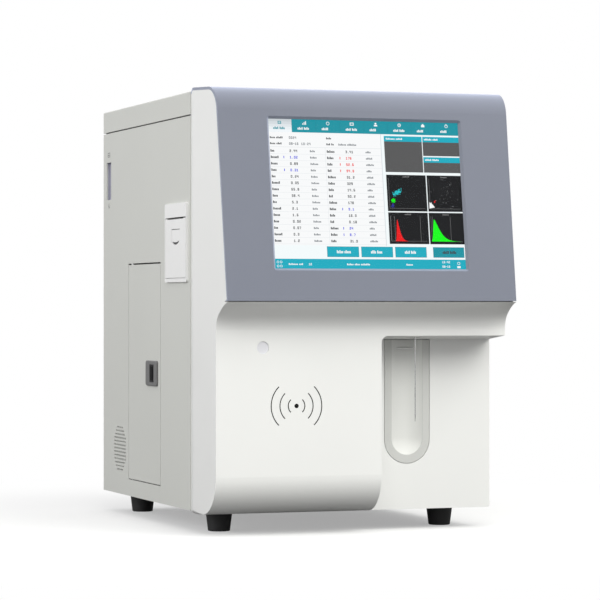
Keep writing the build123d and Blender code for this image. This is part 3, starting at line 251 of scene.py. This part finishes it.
zinc = plated("zinc_sheet", (0.62, 0.63, 0.64), 0.38)
dress(zinc, "base_tray", "inner_frame", "display_bracket", "syringe_frame", "lift_frame")
satin = plated("satin_steel", (0.80, 0.80, 0.79), 0.5)
dress(satin, "hinge_pins")
polished = plated("polished_steel", (0.74, 0.74, 0.75), 0.16, (60.0, 60.0, 1.0))
dress(polished, "guide_rods", "lift_screw", "sampling_probe", "syringe_screw", "door_pivots")
nickel = plated("contact_metal", (0.70, 0.69, 0.66), 0.24)
dress(nickel, "metal_contacts", "rear_screws")
aluminium = plated("machined_aluminium", (0.66, 0.67, 0.69), 0.32, (60.0, 1.0, 60.0))
dress(aluminium, "probe_carrier", "optics_base", "optics_blocks", "power_supply", "air_pump")
anodised = plated("laser_black", (0.04, 0.04, 0.045), 0.4)
dress(anodised, "laser_tube")


# Small mouldings in black and grey: switch, motors, fan, inlet, rocker, latch, sockets and spigots.
# Each is screwed or snapped into its own opening; all are filled nylon with a fine spark finish.

black = moulding("black_plastic", (0.014, 0.014, 0.015), 0.45, 2600.0, 0.00002, 0.2, 0.2)
dress(black, "start_switch", "stepper_motors", "fan_frame", "fan_rotor", "power_entry")
dress(black, "power_rocker", "print_head", "latch_slider")
bay_grey = moulding("bay_grey", (0.42, 0.42, 0.50), 0.4)
dress(bay_grey, "socket_bay")
latch_grey = moulding("latch_grey", (0.14, 0.14, 0.14), 0.42)
dress(latch_grey, "latch_frame")
spigot_grey = moulding("spigot_grey", (0.30, 0.32, 0.34), 0.4)
dress(spigot_grey, "hose_spigots", "valve_bank")


# Feet: moulded black rubber cones with a matt, slightly dusty face, fixed under the base tray.
# The printer's platen roller is of the same rubber.

rubber = moulding("foot_rubber", (0.022, 0.022, 0.023), 0.58, 1500.0, 0.00005, 0.25)
dress(rubber, "feet", "platen_roller")


# Side printer: white lid, frame, key and release tab around a roll of thermal paper.
# Glossy ABS mouldings, snapped into the side panel. The lid is coloured near black as painted shade
# in the floor under its tab and along its top edge, where the paper comes out of a narrow gap.

PRINTER_WHITE = (0.88, 0.88, 0.875)
printer_white = moulding("printer_white", PRINTER_WHITE, 0.36)
dress(printer_white, "printer_body", "release_tab", "feed_key")

# Painted shade: near black in the finger scoop under the tab and along the lid's top edge by the
# paper slot.
SCOOP_LOW, SCOOP_HIGH = (-0.1620, -0.0900, 0.3000), (-0.1616, -0.0530, 0.3190)
SLOT_SHADE_LOW, SLOT_SHADE_HIGH = (-0.1650, -0.1003, 0.3286), (-0.1600, -0.0426, 0.3300)
SCOOP_PAINTED_SHADE, SLOT_PAINTED_SHADE = (0.015, 0.015, 0.015), (0.02, 0.02, 0.02)
lid_white = moulding("lid_white", PRINTER_WHITE, 0.36)
recolour(lid_white, "printer_lid", SCOOP_LOW, SCOOP_HIGH, SCOOP_PAINTED_SHADE)
recolour(lid_white, "printer_lid", SLOT_SHADE_LOW, SLOT_SHADE_HIGH, SLOT_PAINTED_SHADE)
dress(lid_white, "printer_lid")
paper = moulding("paper", (0.85, 0.85, 0.83), 0.7, 3000.0, 0.00003)
dress(paper, "paper_roll")


# Reagent compartment and fluid parts: white tray, milky blow-moulded bottles with green caps,
# blocks of clear acrylic, the sample valve's ceramic discs, and the main board beside them.

tray_white = moulding("tray_plastic", (0.70, 0.71, 0.70), 0.45)
dress(tray_white, "reagent_tray", "vacuum_tank", "syringe_carriage")
bottle_milk = moulding("bottle_plastic", (0.72, 0.73, 0.72), 0.36)
dress(bottle_milk, "reagent_bottles")
cap_green = moulding("cap_green", (0.02, 0.22, 0.19), 0.4)
dress(cap_green, "bottle_caps")
acrylic = moulding("clear_acrylic", (0.55, 0.63, 0.66), 0.12)
dress(acrylic, "wash_block", "count_baths")
ceramic = moulding("valve_ceramic", (0.76, 0.73, 0.66), 0.3)
dress(ceramic, "sample_valve", "valve_rotor")
board_green = moulding("board_green", (0.01, 0.10, 0.05), 0.35, 900.0, 0.0001, 0.2)
dress(board_green, "main_board")


# Status lens: lavender-white diffusing disc set back in the front, and the printer's tiny lamp.
# Both are acrylic light guides pushed in from behind.

lens_white = moulding("lens_plastic", (0.76, 0.76, 0.80), 0.22)
dress(lens_white, "indicator_lenses")


# Clear parts: touch glass over the black display panel, and the three syringe barrels.
# The glass lies behind the bezel's window with the panel on its back; the barrels stand in their
# frame.


def clear(name, tint, alpha, roughness):
    """Clear sheet: mostly see-through, glossy, and a little less so where faint smears lie."""
    material, tree, principled = shader(name)
    principled.inputs["Base Color"].default_value = (*tint, 1)
    principled.inputs["Alpha"].default_value = alpha
    smear = speckle(tree, 30.0)
    gloss = between(tree, smear, (roughness,) * 3, (roughness + 0.05,) * 3)
    tree.links.new(gloss, principled.inputs["Roughness"])
    return material


glass = clear("screen_glass", (0.10, 0.12, 0.14), 0.03, 0.08)
glass.node_tree.nodes["Principled BSDF"].inputs["Specular IOR Level"].default_value = 0.25
dress(glass, "touch_glass")
barrel = clear("syringe_glass", (0.85, 0.92, 0.93), 0.25, 0.05)
dress(barrel, "syringe_barrels")
lcd_black = moulding("lcd", (0.012, 0.013, 0.015), 0.3)
dress(lcd_black, "lcd_panel")


# Picture on the screen: fields, made-up figures and plots of a blood count, shown by the panel
# behind the glass. It is laid out on an 800 by 600 grid over the lit area, x to the right and y
# down, in flat facets a few hundredths of a millimetre apart.

GRID_WIDE, GRID_HIGH = 800, 600
SCREEN_WIDE, SCREEN_HIGH = 0.2108, 0.1562
SCREEN_TILT = math.radians(8.6)
SCREEN_LAYER = 0.00003
WHITE, PAPER, RULE = (0.96, 0.97, 0.975), (0.92, 0.98, 0.99), (0.70, 0.74, 0.77)
INK, SOFT_INK = (0.05, 0.055, 0.06), (0.22, 0.24, 0.26)
TEAL, DEEP_TEAL, STATUS_TEAL = (0.012, 0.300, 0.370), (0.010, 0.220, 0.280), (0.012, 0.420, 0.540)
PANEL, PLOT, AXIS = (0.10, 0.10, 0.10), (0.008, 0.008, 0.008), (0.20, 0.20, 0.20)
RED, BLUE, GREEN = (0.86, 0.008, 0.008), (0.04, 0.05, 0.75), (0.005, 0.97, 0.006)
CYAN, DEEP_BLUE = (0.02, 0.62, 0.68), (0.03, 0.04, 0.35)
FIGURES = {
    "0": (7, 5, 5, 5, 7), "1": (2, 6, 2, 2, 7), "2": (7, 1, 7, 4, 7), "3": (7, 1, 7, 1, 7),
    "4": (5, 5, 7, 1, 1), "5": (7, 4, 7, 1, 7), "6": (7, 4, 7, 5, 7), "7": (7, 1, 1, 2, 2),
    "8": (7, 5, 7, 5, 7), "9": (7, 5, 7, 1, 7), ".": (0, 0, 0, 0, 2), "%": (5, 1, 2, 4, 5),
    "/": (1, 1, 2, 4, 4), ":": (0, 2, 0, 2, 0), "-": (0, 0, 7, 0, 0),
}
DOT_RUNS = {
    0: [], 1: [(2, 3)], 2: [(1, 2)], 4: [(0, 1)], 5: [(0, 1), (2, 3)], 6: [(0, 2)], 7: [(0, 3)],
}
BLOCK_STEP, BLOCK_WIDE, WORD_GAP = 5.5, 4.1, 4
chance = np.random.default_rng(11)
facets = []


def area(x0, y0, x1, y1, colour, level=1):
    """One rectangle between two corners; level counts the layers up from the panel."""
    facets.append((np.array([(x0, y1), (x1, y1), (x1, y0), (x0, y0)], float), level, colour))


def disc(x, y, radius, colour, level=3, sides=14):
    """A round spot: corners at equal turns around the centre."""
    turn = -np.arange(sides) * 2 * np.pi / sides
    rim = np.stack([x + radius * np.cos(turn), y + radius * np.sin(turn)], 1)
    facets.append((rim, level, colour))


def ring(x, y, radius, thick, colour, level=3, sides=14):
    """A round outline: short pieces between two circles."""
    turn = -np.arange(sides + 1) * 2 * np.pi / sides
    outer = np.stack([x + radius * np.cos(turn), y + radius * np.sin(turn)], 1)
    inner = np.stack([x + (radius - thick) * np.cos(turn), y + (radius - thick) * np.sin(turn)], 1)
    for k in range(sides):
        facets.append((np.stack([outer[k], outer[k + 1], inner[k + 1], inner[k]]), level, colour))


def figures(text, x, y, dot, colour, level=3):
    """Digits of three by five dots, four dots apart; each run of dots in a row is one facet."""
    for k, letter in enumerate(text):
        left = x + k * 4 * dot
        for j, row in enumerate(FIGURES[letter]):
            top = y + j * dot
            for first, last in DOT_RUNS[row]:
                area(left + first * dot, top, left + last * dot, top + dot, colour, level)


def bars(x, y, lengths, tall, colour, level=3):
    """A label shown as words of plain upright blocks on one base line, some taller than others."""
    for length in lengths:
        for k in range(max(round(length / BLOCK_STEP), 1)):
            high = tall * (1.0, 0.72, 0.72, 1.0, 0.72)[(k + int(x)) % 5]
            area(x, y + tall / 2 - high, x + BLOCK_WIDE, y + tall / 2, colour, level)
            x += BLOCK_STEP
        x += WORD_GAP


# Row of eight tabs; the first is open and shades from grey to white. Each has a mark above its
# words: sheet, columns, ring, card, person, clock, tray and switch.
TAB_WIDE, TAB_HIGH, SHADE_STEP = 100, 53, 10.6
TAB_WORDS = ((24, 24), (24, 24), (28,), (24, 24), (28,), (24, 24), (28,), (28,))
area(0, 0, GRID_WIDE, GRID_HIGH, WHITE, 0)
area(0, 0, GRID_WIDE, TAB_HIGH, TEAL)
for tab, words in enumerate(TAB_WORDS):
    left = tab * TAB_WIDE
    if tab == 0:
        for k, grey in enumerate((0.60, 0.68, 0.76, 0.84, 0.90)):
            shade = (grey, grey + 0.05, grey + 0.08)
            area(left, k * SHADE_STEP, left + TAB_WIDE, (k + 1) * SHADE_STEP, shade, 2)
    else:
        area(left - 0.7, 8, left + 0.7, 45, DEEP_TEAL, 2)
    bars(left + 24, 37, words, 10, WHITE if tab else TEAL)
area(43, 9, 57, 21, TEAL, 3)
area(46, 12, 54, 14, WHITE, 4)
area(46, 16, 54, 18, WHITE, 4)
area(144, 17, 148, 22, WHITE, 3)
area(150, 12, 154, 22, WHITE, 3)
area(156, 8, 160, 22, WHITE, 3)
ring(250, 15, 7, 2, WHITE)
area(342, 9, 358, 21, WHITE, 3)
area(345, 12, 355, 18, TEAL, 4)
disc(450, 11, 4, WHITE)
area(443, 16, 457, 22, WHITE, 3)
ring(550, 15, 7, 2.4, WHITE)
area(549, 12, 551, 18, WHITE, 4)
area(643, 12, 657, 21, WHITE, 3)
area(647, 8, 653, 12, WHITE, 3)
ring(750, 15, 7, 2, WHITE)
area(749, 6, 751, 15, WHITE, 4)

# Head of the report: sample number, time and mode as bars and plain figures.
for x, y, words, colour in (
    (8, 75, (20, 26), INK), (8, 99, (24, 22), INK),
    (240, 75, (24,), INK), (240, 99, (18, 10), INK), (290, 99, (34, 40), SOFT_INK),
):
    bars(x, y, words, 8, colour)
for text, x, y in (("0024", 86, 70), ("08-16", 86, 94), ("10:24", 136, 94)):
    figures(text, x, y, 2.0, SOFT_INK)
area(0, 112, 468, 113.2, RULE)

# Two columns of results; a few stand in red or blue because they are high or low. A row holds a
# name, a mark where the value stands out, the value and its unit, over a thin rule.
FIRST_ROW, ROW_STEP, COLUMN_STEP, COLUMN_WIDE = 128, 25.6, 232, 234
MARK_AT, VALUE_AT, UNIT_AT = 52, 78, 162
LOW_ROWS, HIGH_ROWS = {(0, 1), (0, 3), (1, 9), (1, 12), (1, 13)}, {(1, 1), (1, 2), (1, 3)}
VALUES = (
    (
        "2.44", "1.02", "0.89", "0.31", "0.24", "0.05", "65.8", "38.4", "5.3",
        "2.1", "1.6", "0.02", "0.07", "0.3", "1.2",
    ),
    (
        "3.41", "176", "52.6", "94.8", "31.2", "329", "14.6", "50.2", "178",
        "9.1", "16.3", "0.18", "24", "8.7", "31.0",
    ),
)
for side, column in enumerate(VALUES):
    start, edge = 8 + side * COLUMN_STEP, side * COLUMN_WIDE
    for row, value in enumerate(column):
        middle = FIRST_ROW + row * ROW_STEP
        colour = RED if (side, row) in HIGH_ROWS else BLUE if (side, row) in LOW_ROWS else INK
        bars(start, middle, (17 + BLOCK_STEP * ((row * 7 + side * 3) % 4),), 10, INK)
        if colour != INK:
            area(start + MARK_AT, middle - 5, start + MARK_AT + 3, middle + 5, colour, 3)
        figures(value, start + VALUE_AT, middle - 5.2, 2.1, colour)
        bars(start + UNIT_AT, middle, (22 + BLOCK_STEP * (row % 3),), 8, SOFT_INK)
        area(edge, middle + 12.3, edge + COLUMN_WIDE, middle + 13.1, RULE)
area(233.4, 113, 234.4, 503, RULE)
area(467, 53, 470, 506, RULE)

# Right side: three grey message fields, each under a teal head with two words.
HEAD_HIGH = 22
area(470, 53, GRID_WIDE, 506, PAPER)
for left, top, right, bottom, indent, words in (
    (482, 60, 642, 206, 8, (40, 26)),
    (645, 60, GRID_WIDE, 138, 7, (34, 24)),
    (645, 143, GRID_WIDE, 206, 7, (30, 30)),
):
    area(left, top, right, bottom, PANEL, 2)
    area(left, top, right, top + HEAD_HIGH, STATUS_TEAL, 3)
    bars(left + indent, top + HEAD_HIGH / 2, words, 7, WHITE, 4)

# Four black plots with their axes and titles: two scatter plots above two curves.
for top, bottom in ((217, 364), (369, 496)):
    for left, right in ((483, 650), (654, GRID_WIDE)):
        area(left, top, right, bottom, PLOT, 2)
        area(left + 8, bottom - 12, right - 8, bottom - 11, AXIS, 3)
        area(left + 8, top + 14, left + 9, bottom - 12, AXIS, 3)
        bars((left + right) / 2 - 14, top + 7, (28,), 6, AXIS, 3)

# Scatter: each cloud is a spray of small squares, normal about its centre and sheared by its slope.
SPOT = 1.3
for x, y, wide, high, slope, count, colour in (
    (525, 289, 18, 11, -0.4, 110, CYAN),
    (508, 321, 8, 8, -0.2, 55, GREEN),
    (504, 341, 6, 8, -0.2, 30, DEEP_BLUE),
    (682, 324, 4, 4, 0.0, 9, RED),
    (668, 336, 6, 9, 0.0, 16, WHITE),
    (728, 296, 62, 60, 0.2, 26, AXIS),
):
    away = chance.normal(size=(count, 2)).clip(-2, 2) * (wide, high) * 0.5
    spots = np.array([x, y]) + away + np.stack([0 * away[:, 0], away[:, 0] * slope], 1)
    for x, y in spots:
        area(x - SPOT, y - SPOT, x + SPOT, y + SPOT, colour, 4)
facets.append((np.array([(659.0, 352), (682, 347), (674, 336), (660, 326)]), 4, WHITE))

# Curves: the height falls from the peak as exp(-0.5 |distance / width| ^ power), steeply on the
# left (power 2), with a longer tail on the right (power 1.35). Each is filled to the base line.
BASE_LINE, STRIPS = 485, 52
for centre, rise, fall, peak, start, stop, colour in (
    (519, 3.4, 7.8, 88, 507, 562, RED),
    (675, 5.0, 18.0, 90, 662, 786, GREEN),
):
    edge = np.linspace(start, stop, STRIPS + 1)
    away = edge - centre
    before = away < 0
    top = BASE_LINE - peak * np.exp(
        -0.5 * np.abs(away / np.where(before, rise, fall)) ** np.where(before, 2, 1.35)
    )
    for k in range(STRIPS):
        left, right = edge[k], edge[k + 1]
        corners = [(left, BASE_LINE), (right, BASE_LINE), (right, top[k + 1]), (left, top[k])]
        facets.append((np.array(corners), 4, colour))
for x in (492, 508, 616, 668, 744):
    area(x, 384, x + 1.2, BASE_LINE, AXIS, 3)

# Row of four buttons; the last is switched off.
area(0, 504, GRID_WIDE, 556, PAPER)
for left, right, words, face, letters in (
    (220, 352, (28, 28), STATUS_TEAL, WHITE),
    (362, 494, (22, 22), STATUS_TEAL, WHITE),
    (504, 636, (22, 22), STATUS_TEAL, WHITE),
    (664, 796, (28, 28), TEAL, INK),
):
    area(left, 508, right, 550, DEEP_TEAL, 2)
    area(left + 1.5, 509.5, right - 1.5, 548.5, face, 3)
    bars((left + right) / 2 - 26, 529, words, 12, letters, 4)

# Bar along the foot: four small rings, the state in words, the time, and two marks.
area(0, 558, GRID_WIDE, GRID_HIGH, STATUS_TEAL)
for x, y in ((16, 571), (29, 571), (16, 587), (29, 587)):
    ring(x, y, 5, 1.6, WHITE)
for x, words in ((60, (40, 18)), (300, (26, 24, 40)), (548, (26,))):
    bars(x, 579, words, 7, WHITE)
for text, x, y in (("12", 142, 575), ("15:42", 700, 564), ("08-16", 700, 582)):
    figures(text, x, y, 1.7, WHITE)
ring(770, 573, 6, 1.8, WHITE)
area(763, 584, 777, 592, WHITE, 3)

# Grid to part: x / wide - 1/2 of the lit width across and 1/2 - y / high of the lit height up the
# slope, both from the middle of the panel's front face. Level 0 floats two layers off that face,
# and each level is one layer further out.
FLOAT_LAYERS = 2
panel_points = np.array([v.co for v in nodes["lcd_panel"].data.vertices])
outward = np.array([0.0, -math.cos(SCREEN_TILT), math.sin(SCREEN_TILT)])
upslope = np.array([0.0, math.sin(SCREEN_TILT), math.cos(SCREEN_TILT)])
panel_middle = (panel_points.min(0) + panel_points.max(0)) / 2
panel_middle += outward * ((panel_points @ outward).max() - panel_middle @ outward)
counts = np.array([len(corners) for corners, level, colour in facets])
flat = np.concatenate([corners for corners, level, colour in facets])
layers = np.repeat([level for corners, level, colour in facets], counts)
across = (flat[:, 0] / GRID_WIDE - 0.5) * SCREEN_WIDE
along = (0.5 - flat[:, 1] / GRID_HIGH) * SCREEN_HIGH
points = (
    panel_middle
    + across[:, None] * np.array([1.0, 0.0, 0.0])
    + along[:, None] * upslope
    + ((layers + FLOAT_LAYERS) * SCREEN_LAYER)[:, None] * outward
)
starts = np.concatenate([[0], np.cumsum(counts)[:-1]])
mesh = bpy.data.meshes.new("screen_picture")
mesh.vertices.add(len(points))
mesh.vertices.foreach_set("co", points.astype(np.float32).ravel())
mesh.loops.add(len(points))
mesh.loops.foreach_set("vertex_index", np.arange(len(points), dtype=np.int32))
mesh.polygons.add(len(counts))
mesh.polygons.foreach_set("loop_start", starts.astype(np.int32))
mesh.update(calc_edges=True)
tints = np.repeat(np.array([colour for corners, level, colour in facets]), counts, axis=0)
tints = np.concatenate([tints, np.ones((len(tints), 1))], 1)
layer = mesh.color_attributes.new("tint", "FLOAT_COLOR", "POINT")
layer.data.foreach_set("color", tints.astype(np.float32).ravel())
screen_picture = bpy.data.objects.new("screen_picture", mesh)
bpy.context.collection.objects.link(screen_picture)

picture_light, tree, principled = shader("screen_light")
tint = tree.nodes.new("ShaderNodeAttribute")
tint.attribute_name = "tint"
tree.links.new(tint.outputs["Color"], principled.inputs["Emission Color"])
principled.inputs["Emission Strength"].default_value = 1.0
principled.inputs["Base Color"].default_value = (0.004, 0.004, 0.005, 1)
principled.inputs["Specular IOR Level"].default_value = 0.06
gloss = between(tree, speckle(tree, 60.0), (0.12,) * 3, (0.2,) * 3)
tree.links.new(gloss, principled.inputs["Roughness"])
mesh.materials.append(picture_light)
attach(screen_picture, "case")


# Printed marks: pad printing in dark ink, a tap-a-card sign on the front and two signs on the side.
# Each line is a thin strip of ink that lies on the skin.


def ink_strips(name, strips, colour):
    """Flat strips from pairs of edge curves, point by point joined in quads, all in one mesh."""
    points, quads, count = [], [], 0
    for one, other in strips:
        n = len(one)
        points.append(np.concatenate([one, other]))
        k = np.arange(n - 1)
        quads.append(np.stack([k, k + 1, n + k + 1, n + k], 1) + count)
        count += 2 * n
    mesh = bpy.data.meshes.new(name)
    mesh.from_pydata(np.concatenate(points).tolist(), [], np.concatenate(quads).tolist())
    piece = bpy.data.objects.new(name, mesh)
    bpy.context.collection.objects.link(piece)
    mesh.materials.append(colour)
    return piece


ink = moulding("printing_ink", (0.004, 0.004, 0.0045), 0.55, 3000.0, 0.000005, 0.2, 0.12)
INK_PROUD = 0.00008
FRONT_FACE, SIDE_FACE = -0.2015 - INK_PROUD, -0.1610 - INK_PROUD
SIGN_X, SIGN_Z, ARC_WIDE = -0.0731, 0.1342, 0.0010


def arc(radius, thick, first, last, steps=28):
    """A curved stroke in the front plane: two circles of one centre between two angles."""
    turn = np.linspace(first, last, steps)
    face = np.full(steps, FRONT_FACE)
    return tuple(
        np.stack([SIGN_X + r * np.cos(turn), face, SIGN_Z + r * np.sin(turn)], 1)
        for r in (radius + thick / 2, radius - thick / 2)
    )


# Tap-a-card sign: a dot between three pairs of arcs, each arc 92 degrees long, one pair outside the
# other. The dot is a short fat ring with a pinhole in it.
DOT_RADIUS, DOT_WIDE = 0.0012, 0.0022
ARC_RADII, ARC_HALF = (0.0090, 0.0180, 0.0275), math.radians(46)
strokes = [arc(DOT_RADIUS, DOT_WIDE, 0, 2 * math.pi)]
for radius in ARC_RADII:
    for way in (0, math.pi):
        strokes.append(arc(radius, ARC_WIDE, way - ARC_HALF, way + ARC_HALF))
tap_sign = ink_strips("tap_sign", strokes, ink)
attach(tap_sign, "case")


def stroke(points, thick):
    """A bent line on the left side through points (y, z); its edges lie half its width off them."""
    path = np.array(points, float)
    run = np.gradient(path, axis=0)
    run /= np.linalg.norm(run, axis=1)[:, None]
    off = np.stack([-run[:, 1], run[:, 0]], 1) * thick / 2
    face = np.full(len(path), SIDE_FACE)
    return tuple(np.stack([face, *(path + off * way).T], 1) for way in (1, -1))


# Signs at the sockets, in grey: a box of two cells above the recess, a branching stem below it.
SOCKETS_Y = 0.1998
FINE, BROAD = 0.0007, 0.0008
CELL, BOX_HEIGHTS, BOX_ENDS = 0.0045, (0.4085, 0.4105, 0.4130), (0.4082, 0.4133)
STEM_FOOT, STEM_HIGH, BRANCH_OUT, BRANCH_RISE = 0.3485, 0.0070, 0.0030, 0.0020
REAR_FORK, FRONT_FORK = STEM_FOOT + 0.0015, STEM_FOOT + 0.0005
grey_ink = moulding("grey_ink", (0.16, 0.16, 0.17), 0.5, 3000.0, 0.000005, 0.2)
box_sign = [stroke([(SOCKETS_Y - CELL, z), (SOCKETS_Y + CELL, z)], FINE) for z in BOX_HEIGHTS]
for y in (SOCKETS_Y - CELL, SOCKETS_Y, SOCKETS_Y + CELL):
    box_sign.append(stroke([(y, z) for z in BOX_ENDS], BROAD))
fork_sign = [stroke([(SOCKETS_Y, STEM_FOOT), (SOCKETS_Y, STEM_FOOT + STEM_HIGH)], BROAD)]
for way, fork in ((1, REAR_FORK), (-1, FRONT_FORK)):
    tip = SOCKETS_Y + way * BRANCH_OUT
    path = [(SOCKETS_Y, fork), (tip, fork + BRANCH_RISE), (tip, fork + 2 * BRANCH_RISE)]
    fork_sign.append(stroke(path, FINE))
side_signs = ink_strips("side_signs", box_sign + fork_sign, grey_ink)
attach(side_signs, "case")


# Floor and backdrop: a pale sweep that carries the soft shadow near the feet and fades to white
# away from them. The camera sees it pale; the light that it throws back on the part is darker.

FLOOR_REACH = 30.0
PALE, BOUNCE, GLOW = 0.62, 0.19, 0.36
FADE_START, FADE_END = 0.28, 0.75
corners = [(x * FLOOR_REACH, y * FLOOR_REACH, 0) for x, y in ((-1, -1), (1, -1), (1, 1), (-1, 1))]
floor_mesh = bpy.data.meshes.new("floor")
floor_mesh.from_pydata(corners, [], [(0, 1, 2, 3)])
floor = bpy.data.objects.new("floor", floor_mesh)
bpy.context.collection.objects.link(floor)
floor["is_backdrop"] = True
pale, tree, principled = shader("pale_floor")
sight = tree.nodes.new("ShaderNodeLightPath")
grey = tree.nodes.new("ShaderNodeMapRange")
grey.inputs["To Min"].default_value = BOUNCE
grey.inputs["To Max"].default_value = PALE
tree.links.new(sight.outputs["Is Camera Ray"], grey.inputs["Value"])
tree.links.new(grey.outputs["Result"], principled.inputs["Base Color"])
principled.inputs["Roughness"].default_value = 0.9
principled.inputs["Specular IOR Level"].default_value = 0.1
principled.inputs["Emission Strength"].default_value = GLOW
tree.links.new(sight.outputs["Is Camera Ray"], principled.inputs["Emission Color"])
place = tree.nodes.new("ShaderNodeTexCoord")
distance = tree.nodes.new("ShaderNodeVectorMath")
distance.operation = "LENGTH"
tree.links.new(place.outputs["Object"], distance.inputs[0])
fade = tree.nodes.new("ShaderNodeMapRange")
fade.interpolation_type = "SMOOTHSTEP"
fade.inputs["From Min"].default_value = FADE_START
fade.inputs["From Max"].default_value = FADE_END
tree.links.new(distance.outputs["Value"], fade.inputs["Value"])
glow = tree.nodes.new("ShaderNodeEmission")
glow.inputs["Color"].default_value = (1, 1, 1, 1)
seen = tree.nodes.new("ShaderNodeMath")
seen.operation = "MULTIPLY"
tree.links.new(sight.outputs["Is Camera Ray"], seen.inputs[0])
tree.links.new(fade.outputs["Result"], seen.inputs[1])
blend = tree.nodes.new("ShaderNodeMixShader")
tree.links.new(seen.outputs[0], blend.inputs["Fac"])
tree.links.new(principled.outputs["BSDF"], blend.inputs[1])
tree.links.new(glow.outputs["Emission"], blend.inputs[2])
tree.links.new(blend.outputs["Shader"], tree.nodes["Material Output"].inputs["Surface"])
floor_mesh.materials.append(pale)


# Studio room: even soft light from all round, at two thirds of the pure white that the camera and
# the glossy reflections see in its place.

ROOM_LIGHT = 0.66
world = bpy.data.worlds.new("studio")
bpy.context.scene.world = world
world.use_nodes = True
tree = world.node_tree
around = tree.nodes["Background"]
around.inputs["Color"].default_value = (0.99, 0.99, 1.0, 1)
around.inputs["Strength"].default_value = ROOM_LIGHT
behind = tree.nodes.new("ShaderNodeBackground")
behind.inputs["Color"].default_value = (1, 1, 1, 1)
sight = tree.nodes.new("ShaderNodeLightPath")
choose = tree.nodes.new("ShaderNodeMixShader")
seen = tree.nodes.new("ShaderNodeMath")
seen.operation = "MAXIMUM"
tree.links.new(sight.outputs["Is Camera Ray"], seen.inputs[0])
tree.links.new(sight.outputs["Is Glossy Ray"], seen.inputs[1])
tree.links.new(seen.outputs[0], choose.inputs["Fac"])
tree.links.new(around.outputs["Background"], choose.inputs[1])
tree.links.new(behind.outputs["Background"], choose.inputs[2])
tree.links.new(choose.outputs["Shader"], tree.nodes["World Output"].inputs["Surface"])


# Studio lamps: a broad soft key high on the front right, a smaller box on the front left, and a
# third on the left side. The two front boxes don't show in glossy surfaces, so no panel flares.


def lamp(name, place, aim, wide, high, power, colour):
    """Rectangular soft box that points at aim."""
    light = bpy.data.lights.new(name, "AREA")
    light.shape = "RECTANGLE"
    light.size, light.size_y, light.energy = wide, high, power
    light.color = colour
    holder = bpy.data.objects.new(name, light)
    bpy.context.collection.objects.link(holder)
    holder.location = place
    holder.rotation_euler = (Vector(aim) - Vector(place)).to_track_quat("-Z", "Y").to_euler()
    return holder


WARM, NEUTRAL = (1.0, 1.0, 0.955), (1.0, 1.0, 1.0)
key = lamp("key_box", (1.50, -2.15, 2.15), (0, -0.1, 0.2), 2.5, 2.5, 75, WARM)
front = lamp("front_box", (-0.90, -2.50, 2.00), (0, -0.1, 0.2), 1.6, 1.6, 25, WARM)
key.visible_glossy = front.visible_glossy = False
lamp("side_box", (-3.3, -0.5, 1.35), (0, 0, 0.25), 1.8, 1.8, 45, NEUTRAL)


# Camera: level, a little to the left of the front, 3 m away with a long lens. Its place, turn and
# lens were fitted to the photograph's own edges; the shift lowers the machine in the picture a
# little without tilting the camera.

CAMERA_PLACE, CAMERA_TURN = (-0.9964, -2.8161, 0.2376), -19.523
FILM_WIDE, LENS_LONG, SHIFT_UP = 36.0, 162.2, 0.0085
camera_data = bpy.data.cameras.new("camera")
camera = bpy.data.objects.new("camera", camera_data)
bpy.context.collection.objects.link(camera)
camera.location = CAMERA_PLACE
camera.rotation_euler = (math.radians(90), 0, math.radians(CAMERA_TURN))
camera_data.sensor_width = FILM_WIDE
camera_data.lens = LENS_LONG
camera_data.shift_y = SHIFT_UP
bpy.context.scene.camera = camera
bpy.context.scene.view_settings.view_transform = "Standard"

low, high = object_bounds()
